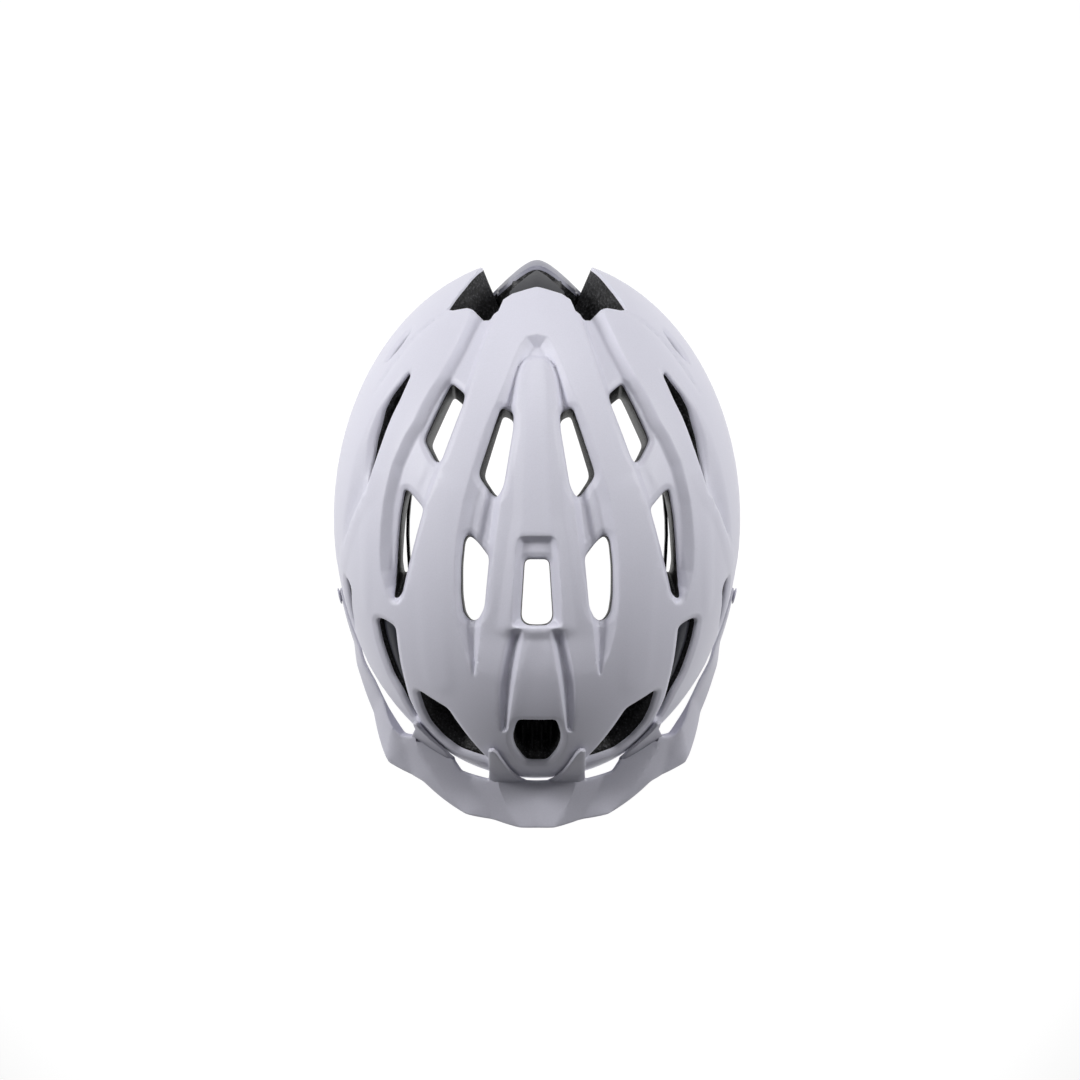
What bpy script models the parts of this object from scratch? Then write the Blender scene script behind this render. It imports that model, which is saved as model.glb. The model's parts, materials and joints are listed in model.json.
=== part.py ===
"""Cycling helmet with a clip-on visor, a foam liner, a dial fit system and chin webbing.

X is right, +Y is the rear, Z is up. The origin is the centre of the head opening, level with
the brow. Lengths are written in millimetres and scaled to metres when a mesh is made.
"""

import math

import bmesh
import bpy
import numpy as np
from mathutils import Matrix, Vector
from mathutils.geometry import delaunay_2d_cdt

for old in list(bpy.data.objects):
    bpy.data.objects.remove(old, do_unlink=True)
for old in list(bpy.data.collections):
    bpy.data.collections.remove(old)

MM = 0.001

# Outer envelope: a superellipsoid, wider than a true ellipsoid at its shoulders.
HALF_WIDTH = 110.0
HALF_LENGTH = 141.0
CROWN_RISE = 100.0
LOWER_DROP = 120.0
SQUARENESS = 2.2
WIDEST_Z = 25.0

# Head cavity: an ellipsoid above the brow, a straight elliptic tube below it.
CAVITY_HALF_WIDTH = 79.0
CAVITY_HALF_LENGTH = 100.0
CAVITY_RISE = 97.0
CAVITY_Y = -6.0

SHELL_THICKNESS = 2.0
FIT_GAP = 0.35
SEAM = 0.6
PAD_THICKNESS = 6.0
PAD_GAP = 1.4
MESH_PITCH = 18.0
EDGE_PITCH = 15.0

# Bottom edge of the helmet and the seam between the two shells, as
# (degrees from the front, height).
RIM = [(0, 4), (35, -4), (80, 8), (120, -12), (150, -26), (180, -26)]
SEAM_LINE = [(0, 22), (30, 20), (60, 18), (120, 18), (145, 22), (160, 26.5), (164.4, 30)]


# ---------------------------------------------------------------- surface mapping

def angles(uv):
    """Angle down from the crown and angle round it, for points of the flat pattern."""
    uv = np.atleast_2d(np.asarray(uv, float))
    return np.hypot(uv[:, 0] / HALF_WIDTH, uv[:, 1] / HALF_LENGTH), np.arctan2(
        uv[:, 1] / HALF_LENGTH, uv[:, 0] / HALF_WIDTH)


def dome(uv):
    """Points of the outer envelope."""
    down, round_ = angles(uv)
    s, c = np.sin(down), np.cos(down)
    g = (np.abs(s) ** SQUARENESS + np.abs(c) ** SQUARENESS) ** (-1.0 / SQUARENESS)
    rise = np.where(c > 0, CROWN_RISE, LOWER_DROP)
    return np.stack([HALF_WIDTH * g * s * np.cos(round_), HALF_LENGTH * g * s * np.sin(round_),
                     WIDEST_Z + rise * g * c], axis=1)


def inward(uv):
    """Directions in which walls and vents run: down at the crown, level at the widest part."""
    down, round_ = angles(uv)
    s, c = np.sin(down), np.cos(down)
    g = (np.abs(s) ** SQUARENESS + np.abs(c) ** SQUARENESS) ** (-1.0 / SQUARENESS)
    reach = np.where(c > 0, g * s, 1.0)
    tilt = 0.5 * math.pi * np.clip(reach, 0, 1) ** 4
    level = np.stack([np.cos(round_) / HALF_WIDTH, np.sin(round_) / HALF_LENGTH], axis=1)
    level /= np.maximum(np.linalg.norm(level, axis=1, keepdims=True), 1e-12)
    return np.concatenate([-level * np.sin(tilt)[:, None], -np.cos(tilt)[:, None]], axis=1)


def at_depth(uv, depth):
    return dome(uv) + inward(uv) * np.asarray(depth, float).reshape(-1, 1)


def cavity_depth(uv):
    """Depth along the inward direction at which each line meets the head cavity."""
    start, step = dome(uv), inward(uv)
    near, far = np.zeros(len(start)), np.full(len(start), 62.0)
    for _ in range(40):
        mid = 0.5 * (near + far)
        p = start + step * mid[:, None]
        inside = ((p[:, 0] / CAVITY_HALF_WIDTH) ** 2
                  + ((p[:, 1] - CAVITY_Y) / CAVITY_HALF_LENGTH) ** 2
                  + (np.maximum(p[:, 2], 0) / CAVITY_RISE) ** 2) < 1
        far = np.where(inside, mid, far)
        near = np.where(inside, near, mid)
    return far


def plan(x, y):
    """Pattern point of the upper envelope seen straight down at x, y."""
    reach = math.hypot(x / HALF_WIDTH, y / HALF_LENGTH)
    reach = min(reach, 0.9999)
    down = math.atan2(reach, (1 - reach ** SQUARENESS) ** (1 / SQUARENESS))
    round_ = math.atan2(y / HALF_LENGTH, x / HALF_WIDTH)
    return HALF_WIDTH * down * math.cos(round_), HALF_LENGTH * down * math.sin(round_)


def around(from_front, z):
    """Pattern point on the left side, so many degrees from the front, at height z."""
    h = (z - WIDEST_Z) / (CROWN_RISE if z > WIDEST_Z else LOWER_DROP)
    reach = (1 - abs(h) ** SQUARENESS) ** (1 / SQUARENESS)
    down = math.atan2(reach, h)
    a = math.radians(from_front)
    return -HALF_WIDTH * down * math.sin(a), -HALF_LENGTH * down * math.cos(a)


def height_on(line, from_front):
    """Height of a line of (degrees, height) knots, eased between the knots."""
    for (a0, z0), (a1, z1) in zip(line, line[1:]):
        if from_front <= a1:
            t = (from_front - a0) / (a1 - a0)
            return z0 + (z1 - z0) * t * t * (3 - 2 * t)
    return line[-1][1]


# ---------------------------------------------------------------- outlines

def mirrored(points):
    return [(-x, y) for x, y in reversed(points)]


def rounded(points, times=1, cut=0.22):
    """Closed outline with its corners cut."""
    for _ in range(times):
        out = []
        for a, b in zip(points, points[1:] + points[:1]):
            out.append((a[0] + cut * (b[0] - a[0]), a[1] + cut * (b[1] - a[1])))
            out.append((b[0] - cut * (b[0] - a[0]), b[1] - cut * (b[1] - a[1])))
        points = out
    return points


def spaced(points, pitch=EDGE_PITCH, closed=True):
    """Outline with long edges divided."""
    out = []
    pairs = list(zip(points, points[1:] + points[:1])) if closed else list(zip(points, points[1:]))
    for a, b in pairs:
        n = max(1, math.ceil(math.dist(a, b) / pitch - 0.25))
        out += [(a[0] + (b[0] - a[0]) * i / n, a[1] + (b[1] - a[1]) * i / n) for i in range(n)]
    if not closed:
        out.append(points[-1])
    return out


def area(loop):
    p = np.asarray(loop)
    q = np.roll(p, -1, axis=0)
    return 0.5 * float(np.sum(p[:, 0] * q[:, 1] - q[:, 0] * p[:, 1]))


def inset(loop, by):
    """Outline moved inward by a small distance."""
    sign = 1 if area(loop) > 0 else -1
    out = []
    n = len(loop)
    for i in range(n):
        a, b, c = (Vector(loop[(i + k - 1) % n]) for k in range(3))
        d0, d1 = (b - a).normalized(), (c - b).normalized()
        normal = Vector((-(d0.y + d1.y), d0.x + d1.x)).normalized() * sign
        half = max(0.5, abs(normal.dot(Vector((-d0.y, d0.x)))))
        out.append(tuple(b + normal * (by / half)))
    return out


def inside(points, loop):
    p, q = np.asarray(points, float), np.asarray(loop, float)
    a, b = q, np.roll(q, -1, axis=0)
    x, y = p[:, 0:1], p[:, 1:2]
    crosses = (a[:, 1] > y) != (b[:, 1] > y)
    with np.errstate(divide="ignore", invalid="ignore"):
        at = a[:, 0] + (y - a[:, 1]) * (b[:, 0] - a[:, 0]) / (b[:, 1] - a[:, 1])
    return (np.sum(crosses & (x < at), axis=1) % 2) == 1


def edge_distance(points, loop, closed=True):
    p, q = np.asarray(points, float), np.asarray(loop, float)
    a, b = (q, np.roll(q, -1, axis=0)) if closed else (q[:-1], q[1:])
    best = np.full(len(p), 1e9)
    for s, e in zip(a, b):
        d = e - s
        t = np.clip(((p - s) @ d) / max(float(d @ d), 1e-12), 0, 1)
        best = np.minimum(best, np.linalg.norm(p - s - t[:, None] * d, axis=1))
    return best


def depth_inside(points, loop):
    """Distance in from the outline, 0 outside it."""
    return np.where(inside(points, loop), edge_distance(points, loop), 0.0)


def eased(t):
    t = np.clip(t, 0, 1)
    return t * t * (3 - 2 * t)


def pattern(points, smooth=1):
    """Left outline given in plan, as a rounded outline of the flat pattern."""
    return rounded([plan(x, y) for x, y in points], smooth)


# Vents that pass right through, left side, in plan.
THROUGH_VENTS = [
    [(-17.9, 56.1), (-12.3, 53.5), (-17.3, 11.5), (-22.5, 12.0), (-29.1, 20.2)],
    [(-44.4, 69.0), (-36.5, 63.1), (-49.8, 28.5), (-53.9, 29.1), (-57.7, 39.0)],
    [(-36.8, -10.5), (-34.2, -9.4), (-24.0, -21.2), (-27.7, -52.0), (-31.8, -54.6),
     (-36.4, -52.5), (-38.4, -24.8)],
    [(-68.1, 13.8), (-64.9, 13.2), (-58.0, 3.4), (-69.4, -41.5), (-72.6, -41.0),
     (-72.4, -23.9)],
]
CENTRE_VENT = [(6.5, -21.7), (-6.5, -21.7), (-8.6, -52.9), (-5.5, -56.0), (5.5, -56.0),
               (8.6, -52.9)]
# Vents that end in the foam: outline in plan and depth.
LONG_SLIT = [(-65.7, 75.1), (-77.9, 61.2), (-84.6, 40.2), (-87.7, 24.5), (-89.3, 12.0),
             (-85.4, 14.0), (-79.0, 34.8), (-72.3, 55.6)]
REAR_SLIT = [(-64.4, 96.4), (-72.4, 90.5), (-79.0, 80.2), (-74.5, 84.8)]
FRONT_SIDE_SLIT = [(-99.2, -31.6), (-100.6, -38.0), (-98.3, -50.5), (-94.0, -58.5),
                   (-96.4, -46.5)]
SIDE_FRONT_VENT = [(-82.1, -53.9), (-77.7, -53.7), (-73.4, -56.8), (-70.0, -74.7),
                   (-64.4, -103.2), (-66.8, -101.0), (-74.4, -85.8), (-79.7, -67.1)]
INSERT = [(-80.2, -58.2), (-77.4, -56.4), (-75.6, -58.7), (-72.5, -75.0), (-70.2, -86.5),
          (-73.2, -83.8), (-77.6, -68.0)]
FRONT_VENT = [(-62.4, -90.6), (-60.7, -90.5), (-52.3, -95.6), (-46.5, -98.7),
              (-27.0, -124.2), (-35.4, -122.1), (-46.1, -117.0), (-55.4, -107.2),
              (-60.5, -98.8)]
FRONT_CENTRE_VENT = [(10.6, -106.6), (-10.6, -106.6), (-13.3, -114.5), (-12.1, -121.5),
                     (-6.5, -128.5), (6.5, -128.5), (12.1, -121.5), (13.3, -114.5)]
BLIND_VENTS = [(LONG_SLIT, 15.0), (REAR_SLIT, 9.0), (FRONT_SIDE_SLIT, 8.0),
               (SIDE_FRONT_VENT, 14.0), (FRONT_VENT, 17.0)]
FRONT_CENTRE_DEPTH = 19.0

# Channels sunk between the ribs: outline in plan, depth, width of the sloping wall.
CHANNELS = [
    ([(-0.1, 95.0), (-6.7, 94.0), (-10.8, 89.2), (-28.7, 41.2), (-32.2, 18.7),
      (-38.4, -16.6), (-39.8, -46.9), (-34.1, -81.7), (-31.5, -79.6), (-28.2, -52.0),
      (-21.9, -20.2), (-18.4, 6.9), (-15.0, 24.0), (-11.5, 49.4), (-9.0, 72.0),
      (-6.0, 80.0), (-0.1, 81.5)], 5.0, 4.5),
    ([(-20.6, 111.0), (-25.4, 95.3), (-35.0, 63.1), (-48.2, 28.0), (-57.5, 2.9),
      (-64.4, -25.4), (-68.8, -41.5), (-71.5, -47.0), (-73.1, -43.1), (-74.5, -22.4),
      (-72.3, 13.8), (-68.6, 19.0), (-63.0, 42.7), (-54.3, 65.0), (-45.7, 85.5),
      (-37.1, 104.9), (-34.5, 109.5)], 5.0, 4.5),
    ([(-4.5, -58.5), (-10.0, -57.0), (-14.0, -56.6), (-18.2, -75.0), (-20.7, -87.4),
      (-20.3, -100.9), (-13.2, -104.5), (-8.4, -84.1)], 4.0, 4.5),
]
CENTRE_RECESS = [(9.5, -9.5), (-9.5, -9.5), (-11.5, -16.0), (-13.6, -57.0), (13.6, -57.0),
                 (11.5, -16.0)]
SIDE_SCOOP = [(-61.0, 82.0), (-72.0, 72.0), (-86.0, 55.0), (-95.0, 34.0), (-101.0, 8.0),
              (-104.0, -22.0), (-99.0, -10.0), (-90.0, 8.0), (-86.0, 22.0), (-79.0, 38.0),
              (-70.5, 60.0)]

# Rear edge of the crown, and the edge of each side wing behind it, left side, in plan.
CROWN_EDGE = [(0, 120.8), (-1.6, 120.6), (-13.1, 117.2), (-17.8, 113.9), (-20.3, 107.6),
              (-23.4, 105.4), (-29.2, 105.8), (-32.9, 108.7), (-36.7, 109.8), (-44.0, 108.8),
              (-47.3, 109.4)]
WING_TIP = (-29.5, 134.0)
TAIL_BAND_TOP = [(180, 50.0), (176, 49.2), (171, 46.5), (165.9, 42.5), (165.8, 30.6)]


def full_loop(left):
    """Closed outline from its left half, which starts and ends on the centre line."""
    return left + [(-x, y) for x, y in reversed(left) if abs(x) > 1e-6]


SEAM_STEPS = list(range(0, 136, 9)) + [140, 146, 152, 156, 160, 162.2, 164.4]


def seam_points(offset, first=0):
    return [around(a, height_on(SEAM_LINE, a) + offset) for a in SEAM_STEPS if a >= first]


CROWN_OUTLINE = full_loop(
    seam_points(SEAM) + [around(164.2, 38.0), plan(*WING_TIP)]
    + spaced([plan(*WING_TIP), plan(-38.5, 122.8), plan(-47.3, 109.4)], closed=False)[1:-1]
    + [plan(x, y) for x, y in reversed(CROWN_EDGE)])
LOWER_TOP = full_loop(
    seam_points(0)[:-1] + [around(a, z) for a, z in reversed(TAIL_BAND_TOP)])
RIM_LOOP = full_loop([around(a, height_on(RIM, a)) for a in range(0, 181, 6)])


def both_sides(loop):
    return [loop, mirrored(loop)]


THROUGH = [loop for v in THROUGH_VENTS for loop in both_sides(pattern(v))]
THROUGH.append(pattern(CENTRE_VENT))
BLIND = [(loop, depth) for v, depth in BLIND_VENTS for loop in both_sides(pattern(v))]
BLIND.append((pattern(FRONT_CENTRE_VENT), FRONT_CENTRE_DEPTH))
SUNK = [(loop, depth, wall) for v, depth, wall in CHANNELS
        for loop in both_sides(pattern(v, 0))]
SUNK.append((pattern(CENTRE_RECESS), 4.0, 4.0))
SCOOPS = [loop for loop in both_sides(pattern(SIDE_SCOOP, 2))]


# ---------------------------------------------------------------- depth of each skin

def relief(uv):
    """How far the white shell is sunk below the envelope."""
    uv = np.atleast_2d(uv)
    depth = np.zeros(len(uv))
    for loop, deep, wall in SUNK:
        depth = np.maximum(depth, deep * eased(depth_inside(uv, loop) / wall))
    for loop in SCOOPS:
        depth = np.maximum(depth, 4.0 * eased(depth_inside(uv, loop) / 11.0))
    down, round_ = angles(uv)
    from_front = np.degrees(np.arccos(np.clip(-np.sin(round_), -1, 1)))
    z = dome(uv)[:, 2]
    seat = eased((from_front - 56) / 6) * eased((81 - from_front) / 5) * eased((42 - z) / 8)
    return depth + 1.7 * seat


def keel(uv):
    """How far the grey tail band is pinched in towards its apex."""
    uv = np.atleast_2d(uv)
    p = dome(uv)
    down, round_ = angles(uv)
    aft = np.degrees(np.arccos(np.clip(np.sin(round_), -1, 1)))
    x = np.abs(p[:, 0])
    apex = np.sqrt(x * x + 36.0) - 6.0
    line = 140.2 - 0.80 * apex
    full = np.clip(HALF_LENGTH * np.sqrt(np.clip(1 - (x / HALF_WIDTH) ** 2, 0, 1)) - line, 0, 18)
    slope = 0.11 * np.clip(p[:, 2] - 25.0, 0, 30) + 0.10 * np.clip(10.0 - p[:, 2], 0, 40)
    return full * eased((52 - aft) / 34) + np.where(aft < 30, slope, slope * (60 - aft) / 30) * (
        aft < 60)


def under_skin(uv):
    """Depth of the foam's outer face, under the shells and in the exhaust between them."""
    uv = np.atleast_2d(uv)
    base = SHELL_THICKNESS + FIT_GAP
    upper = inside(uv, CROWN_OUTLINE)
    lower = ~inside(uv, LOWER_TOP)
    to_upper, to_lower = edge_distance(uv, CROWN_OUTLINE), edge_distance(uv, LOWER_TOP)
    share = np.minimum(1.0, 2.0 * to_upper / np.maximum(to_upper + to_lower, 1e-9))
    between = relief(uv) * (1 - share) + keel(uv) * share + base
    x = np.abs(dome(uv)[:, 0])
    floor = 10.6 + 13.4 * eased((x - 15) / 3)
    between += (floor - between) * np.clip(np.minimum(to_upper, to_lower) / 1.2, 0, 1)
    on_upper, on_lower = to_upper < 1e-6, to_lower < 1e-6
    depth = np.where(upper | on_upper, relief(uv) + base, between)
    depth = np.where((lower & ~on_upper) | on_lower, keel(uv) + base, depth)
    for loop, deep in BLIND:
        depth += (deep - base) * np.clip(depth_inside(uv, loop) / 1.0, 0, 1)
    return depth


# ---------------------------------------------------------------- meshing

def clean(points, least=0.05):
    """Outline without repeated points."""
    out = []
    for p in points:
        if not out or math.dist(p, out[-1]) > least:
            out.append(tuple(p))
    while len(out) > 1 and math.dist(out[0], out[-1]) <= least:
        out.pop()
    return out


def triangulated(loops, free, lines=()):
    """Constrained triangulation: counter-clockwise triangles over all the loops."""
    points, edges = [], []
    for loop in loops:
        first = len(points)
        points += [Vector(p) for p in loop]
        edges += [(first + i, first + (i + 1) % len(loop)) for i in range(len(loop))]
    for line in lines:
        first = len(points)
        points += [Vector(p) for p in line]
        edges += [(first + i, first + i + 1) for i in range(len(line) - 1)]
    points += [Vector(p) for p in free]
    verts, _, faces, _, _, _ = delaunay_2d_cdt(points, edges, [], 0, 1e-5)
    uv = np.array([tuple(v) for v in verts])
    tris = np.array([f for f in faces if len(f) == 3])
    a, b, c = uv[tris[:, 0]], uv[tris[:, 1]], uv[tris[:, 2]]
    turn = (b[:, 0] - a[:, 0]) * (c[:, 1] - a[:, 1]) - (b[:, 1] - a[:, 1]) * (c[:, 0] - a[:, 0])
    tris[turn < 0] = tris[turn < 0][:, ::-1]
    return uv, tris[np.abs(turn) > 1e-7]


def free_points(loops, limit, pitch):
    """Hexagonal grid inside limit, clear of every loop."""
    span = np.abs(np.asarray(limit)).max(axis=0)
    rows = []
    j = 0
    for y in np.arange(-span[1], span[1], pitch * 0.866):
        shift = 0.5 * pitch * (j % 2)
        rows += [(x + shift, y) for x in np.arange(-span[0] - pitch, span[0], pitch)]
        j += 1
    grid = np.array(rows)
    keep = inside(grid, limit)
    for loop in loops:
        keep &= edge_distance(grid, loop) > 0.42 * pitch
    return [tuple(p) for p in grid[keep]]


def thick_patch(uv, tris, outer, inner):
    """Closed solid between two skins over the same triangles."""
    used, index = np.unique(tris, return_inverse=True)
    tris = index.reshape(tris.shape)
    n = len(used)
    verts = np.concatenate([outer(uv[used]), inner(uv[used])])
    faces = [tuple(t) for t in tris] + [(t[2] + n, t[1] + n, t[0] + n) for t in tris]
    directed = {(t[i], t[(i + 1) % 3]) for t in tris for i in range(3)}
    for a, b in sorted(directed):
        if (b, a) not in directed:
            faces += [(b, a, a + n), (b, a + n, b + n)]
    return verts, faces


# ---------------------------------------------------------------- objects

def material(name, colour, roughness=0.5, metallic=0.0):
    m = bpy.data.materials.new(name)
    m.use_nodes = True
    shader = m.node_tree.nodes["Principled BSDF"]
    shader.inputs["Base Color"].default_value = (*colour, 1.0)
    shader.inputs["Roughness"].default_value = roughness
    shader.inputs["Metallic"].default_value = metallic
    m.diffuse_color = (*colour, 1.0)
    return m


WHITE = (0.74, 0.74, 0.80)
GREY = (0.27, 0.27, 0.32)
FOAM = (0.018, 0.018, 0.020)
BLACK = (0.022, 0.022, 0.024)
PAD = (0.05, 0.05, 0.055)
WEB = (0.028, 0.028, 0.030)
STEEL = (0.55, 0.56, 0.58)


def collection(name):
    group = bpy.data.collections.new(name)
    bpy.context.scene.collection.children.link(group)
    return group


HELMET = collection("cycling_helmet")
CUTTERS = collection("cutters")
SHARP_ANGLE = math.radians(35)


def finished(name, mesh, colour, roughness=0.5, metallic=0.0, origin=(0, 0, 0)):
    """Object for a mesh in metres, with its own material and its origin at origin."""
    at = Vector(origin) * MM
    mesh.transform(Matrix.Translation(-at))
    mesh.shade_smooth()
    mesh.set_sharp_from_angle(angle=SHARP_ANGLE)
    mesh.materials.append(material(name + "_material", colour, roughness, metallic))
    obj = bpy.data.objects.new(name, mesh)
    obj.location = at
    HELMET.objects.link(obj)
    return obj


def add(name, verts, faces, colour, roughness=0.5, metallic=0.0, origin=(0, 0, 0)):
    """Object from computed skins and lofts, in millimetres: shapes that follow the dome, or
    sections that turn along a path."""
    mesh = bpy.data.meshes.new(name)
    mesh.from_pydata([tuple(v) for v in np.asarray(verts, float) * MM], [], faces)
    mesh.validate()
    mesh.update()
    return finished(name, mesh, colour, roughness, metallic, origin)


def swept(rings):
    """Loft through a row of equal rings, with flat ends."""
    n = len(rings[0])
    verts = [tuple(p) for ring in rings for p in ring]
    faces = []
    for k in range(len(rings) - 1):
        for i in range(n):
            j = (i + 1) % n
            a, b = k * n + i, k * n + j
            faces.append((a, b, b + n, a + n))
    last = (len(rings) - 1) * n
    faces.append(tuple(reversed(range(n))))
    faces.append(tuple(last + i for i in range(n)))
    return verts, outward(verts, faces)


def outward(verts, faces):
    """Faces turned so the solid has positive volume."""
    p = np.asarray(verts, float)
    volume = 0.0
    for f in faces:
        for i in range(1, len(f) - 1):
            volume += float(np.dot(p[f[0]], np.cross(p[f[i]], p[f[i + 1]])))
    return faces if volume > 0 else [tuple(reversed(f)) for f in faces]


def frame_matrix(origin, along, across):
    """Matrix whose X is across, Z is along, at origin."""
    z = Vector(along).normalized()
    x = (Vector(across) - z * Vector(across).dot(z)).normalized()
    y = z.cross(x)
    m = Matrix((x, y, z)).transposed().to_4x4()
    m.translation = Vector(origin)
    return m


def in_metres(placing):
    m = placing.copy()
    m.translation *= MM
    return m


def evaluated_mesh(obj):
    """Mesh of an object as its modifiers or its curve settings make it; the object goes."""
    graph = bpy.context.evaluated_depsgraph_get()
    mesh = bpy.data.meshes.new_from_object(obj.evaluated_get(graph))
    bpy.data.objects.remove(obj, do_unlink=True)
    return mesh


def turned(name, profile, placing, colour, steps=24, origin=None, **look):
    """Turned solid: its half profile, given from the foot up, spun by a Screw modifier."""
    line = [(0.0, profile[-1][1])] + profile[::-1] + [(0.0, profile[0][1])]
    mesh = bpy.data.meshes.new(name + "_profile")
    mesh.from_pydata([(r * MM, 0.0, z * MM) for r, z in line],
                     [(i, i + 1) for i in range(len(line) - 1)], [])
    half = bpy.data.objects.new(name + "_profile", mesh)
    HELMET.objects.link(half)
    spin = half.modifiers.new("spin", "SCREW")
    spin.axis = "Z"
    spin.steps = steps
    spin.render_steps = steps
    spin.use_merge_vertices = True
    spin.merge_threshold = 1e-6
    solid = evaluated_mesh(half)
    solid.transform(in_metres(placing))
    return finished(name, solid, colour,
                    origin=origin if origin is not None else tuple(placing.translation), **look)


def rounded_rect(w, h, r, per=3):
    out = []
    for cx, cy, start in ((w / 2 - r, h / 2 - r, 0), (-w / 2 + r, h / 2 - r, 90),
                          (-w / 2 + r, -h / 2 + r, 180), (w / 2 - r, -h / 2 + r, 270)):
        for i in range(per):
            a = math.radians(start + 90 * i / (per - 1))
            out.append((cx + r * math.cos(a), cy + r * math.sin(a)))
    return out


def plate(name, outline, low, high, placing, colour, bevel=0.6, origin=None, **look):
    """Plate from low to high along local Z: a filled 2D curve with a chamfered edge."""
    curve = bpy.data.curves.new(name + "_outline", "CURVE")
    curve.dimensions = "2D"
    curve.fill_mode = "BOTH"
    curve.extrude = (0.5 * (high - low) - bevel) * MM
    curve.bevel_depth = bevel * MM
    curve.bevel_resolution = 0
    curve.offset = -bevel * MM
    spline = curve.splines.new("POLY")
    spline.points.add(len(outline) - 1)
    ordered = outline if area(outline) > 0 else outline[::-1]
    for point, (x, y) in zip(spline.points, ordered):
        point.co = (x * MM, y * MM, 0.0, 1.0)
    spline.use_cyclic_u = True
    shape = bpy.data.objects.new(name + "_outline", curve)
    HELMET.objects.link(shape)
    mesh = evaluated_mesh(shape)
    bpy.data.curves.remove(curve)
    bm = bmesh.new()
    bm.from_mesh(mesh)
    bmesh.ops.remove_doubles(bm, verts=bm.verts, dist=1e-6)
    bmesh.ops.recalc_face_normals(bm, faces=bm.faces)
    bm.to_mesh(mesh)
    bm.free()
    middle = Matrix.Translation((0.0, 0.0, 0.5 * (low + high) * MM))
    mesh.transform(in_metres(placing) @ middle)
    return finished(name, mesh, colour,
                    origin=origin if origin is not None else tuple(placing.translation), **look)


def cutter(name, mesh):
    """Hidden solid that another piece is cut or joined with."""
    obj = bpy.data.objects.new(name, mesh)
    obj.hide_render = True
    obj.display_type = "WIRE"
    CUTTERS.objects.link(obj)
    return obj


def box(name, size, placing, centre=(0.0, 0.0, 0.0)):
    """Box for cutting, sized in millimetres in a local frame."""
    bm = bmesh.new()
    bmesh.ops.create_cube(bm, size=MM, matrix=in_metres(placing) @ Matrix.Translation(
        Vector(centre) * MM) @ Matrix.Diagonal((*size, 1.0)))
    mesh = bpy.data.meshes.new(name)
    bm.to_mesh(mesh)
    bm.free()
    return cutter(name, mesh)


def cylinder(name, radius, low, high, placing, sides=24):
    """Cylinder for cutting or joining, along local Z."""
    bm = bmesh.new()
    middle = Matrix.Translation((0.0, 0.0, 0.5 * (low + high) * MM))
    bmesh.ops.create_cone(bm, cap_ends=True, segments=sides, radius1=radius * MM,
                          radius2=radius * MM, depth=(high - low) * MM,
                          matrix=in_metres(placing) @ middle)
    mesh = bpy.data.meshes.new(name)
    bm.to_mesh(mesh)
    bm.free()
    return cutter(name, mesh)


def hidden(obj):
    """Turns a piece into one that only cuts or joins others."""
    HELMET.objects.unlink(obj)
    CUTTERS.objects.link(obj)
    obj.hide_render = True
    obj.display_type = "WIRE"
    return obj


def combine(obj, others, operation, solver="EXACT"):
    for other in others:
        step = obj.modifiers.new(other.name, "BOOLEAN")
        step.operation = operation
        step.solver = solver
        step.object = other


# ---------------------------------------------------------------- shells and liner

def build_shells():
    crown = clean(spaced(CROWN_OUTLINE))
    lower = clean(spaced(LOWER_TOP))
    rim = clean(spaced(RIM_LOOP, 14.0))
    through = [clean(spaced(loop)) for loop in THROUGH]
    blind = [clean(spaced(loop)) for loop, _ in BLIND]
    floors = [clean(inset(loop, 1.0)) for loop in blind]
    sunk = [clean(spaced(loop)) for loop, _, _ in SUNK]
    exhaust_floor = exhaust_loop()
    loops = [crown, lower, rim] + through + blind + floors + sunk + [exhaust_floor]
    free = free_points(loops, RIM_LOOP, MESH_PITCH)
    groove = seam_points(0.5 * SEAM, 120)
    lines = [groove, [(-x, y) for x, y in groove]]
    for loop, _, wall in SUNK:
        ring = np.array(inset(clean(spaced(loop, 15.0)), wall))
        near = depth_inside(ring, loop) > 0.85 * wall
        for vent in THROUGH:
            near &= (edge_distance(ring, vent) > 2.0) & ~inside(ring, vent)
        free += [tuple(p) for p in ring[near]]
    uv, tris = triangulated(loops, free, lines)
    centre = uv[tris].mean(axis=1)
    in_rim = inside(centre, rim)
    in_through = np.zeros(len(centre), bool)
    for loop in through:
        in_through |= inside(centre, loop)
    in_blind = np.zeros(len(centre), bool)
    for loop in blind:
        in_blind |= inside(centre, loop)
    white = in_rim & inside(centre, crown) & ~in_through & ~in_blind
    grey = in_rim & ~inside(centre, lower)
    foam = in_rim & ~in_through

    verts, faces = thick_patch(uv, tris[white], lambda p: at_depth(p, relief(p)),
                               lambda p: at_depth(p, relief(p) + SHELL_THICKNESS))
    add("outer_shell", verts, faces, WHITE, 0.45)
    verts, faces = thick_patch(uv, tris[grey], lambda p: at_depth(p, keel(p)),
                               lambda p: at_depth(p, keel(p) + SHELL_THICKNESS))
    add("lower_shell", verts, faces, GREY, 0.45)
    verts, faces = thick_patch(uv, tris[foam], lambda p: at_depth(p, under_skin(p)),
                               lambda p: at_depth(p, cavity_depth(p)))
    add("eps_liner", verts, faces, FOAM, 0.8)


def exhaust_loop():
    """Outline of the exhaust floor behind the crown edge."""
    band = [around(a, z + 1.3) for a, z in TAIL_BAND_TOP[:4]]
    edge = [plan(x, y) for x, y in CROWN_EDGE]
    wing = [plan(-38.5, 122.8), plan(*WING_TIP)]
    left = band + list(reversed(edge + wing))
    outline = full_loop([p for p in left])
    return clean(spaced(inset(clean(outline), 1.4)))


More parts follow.
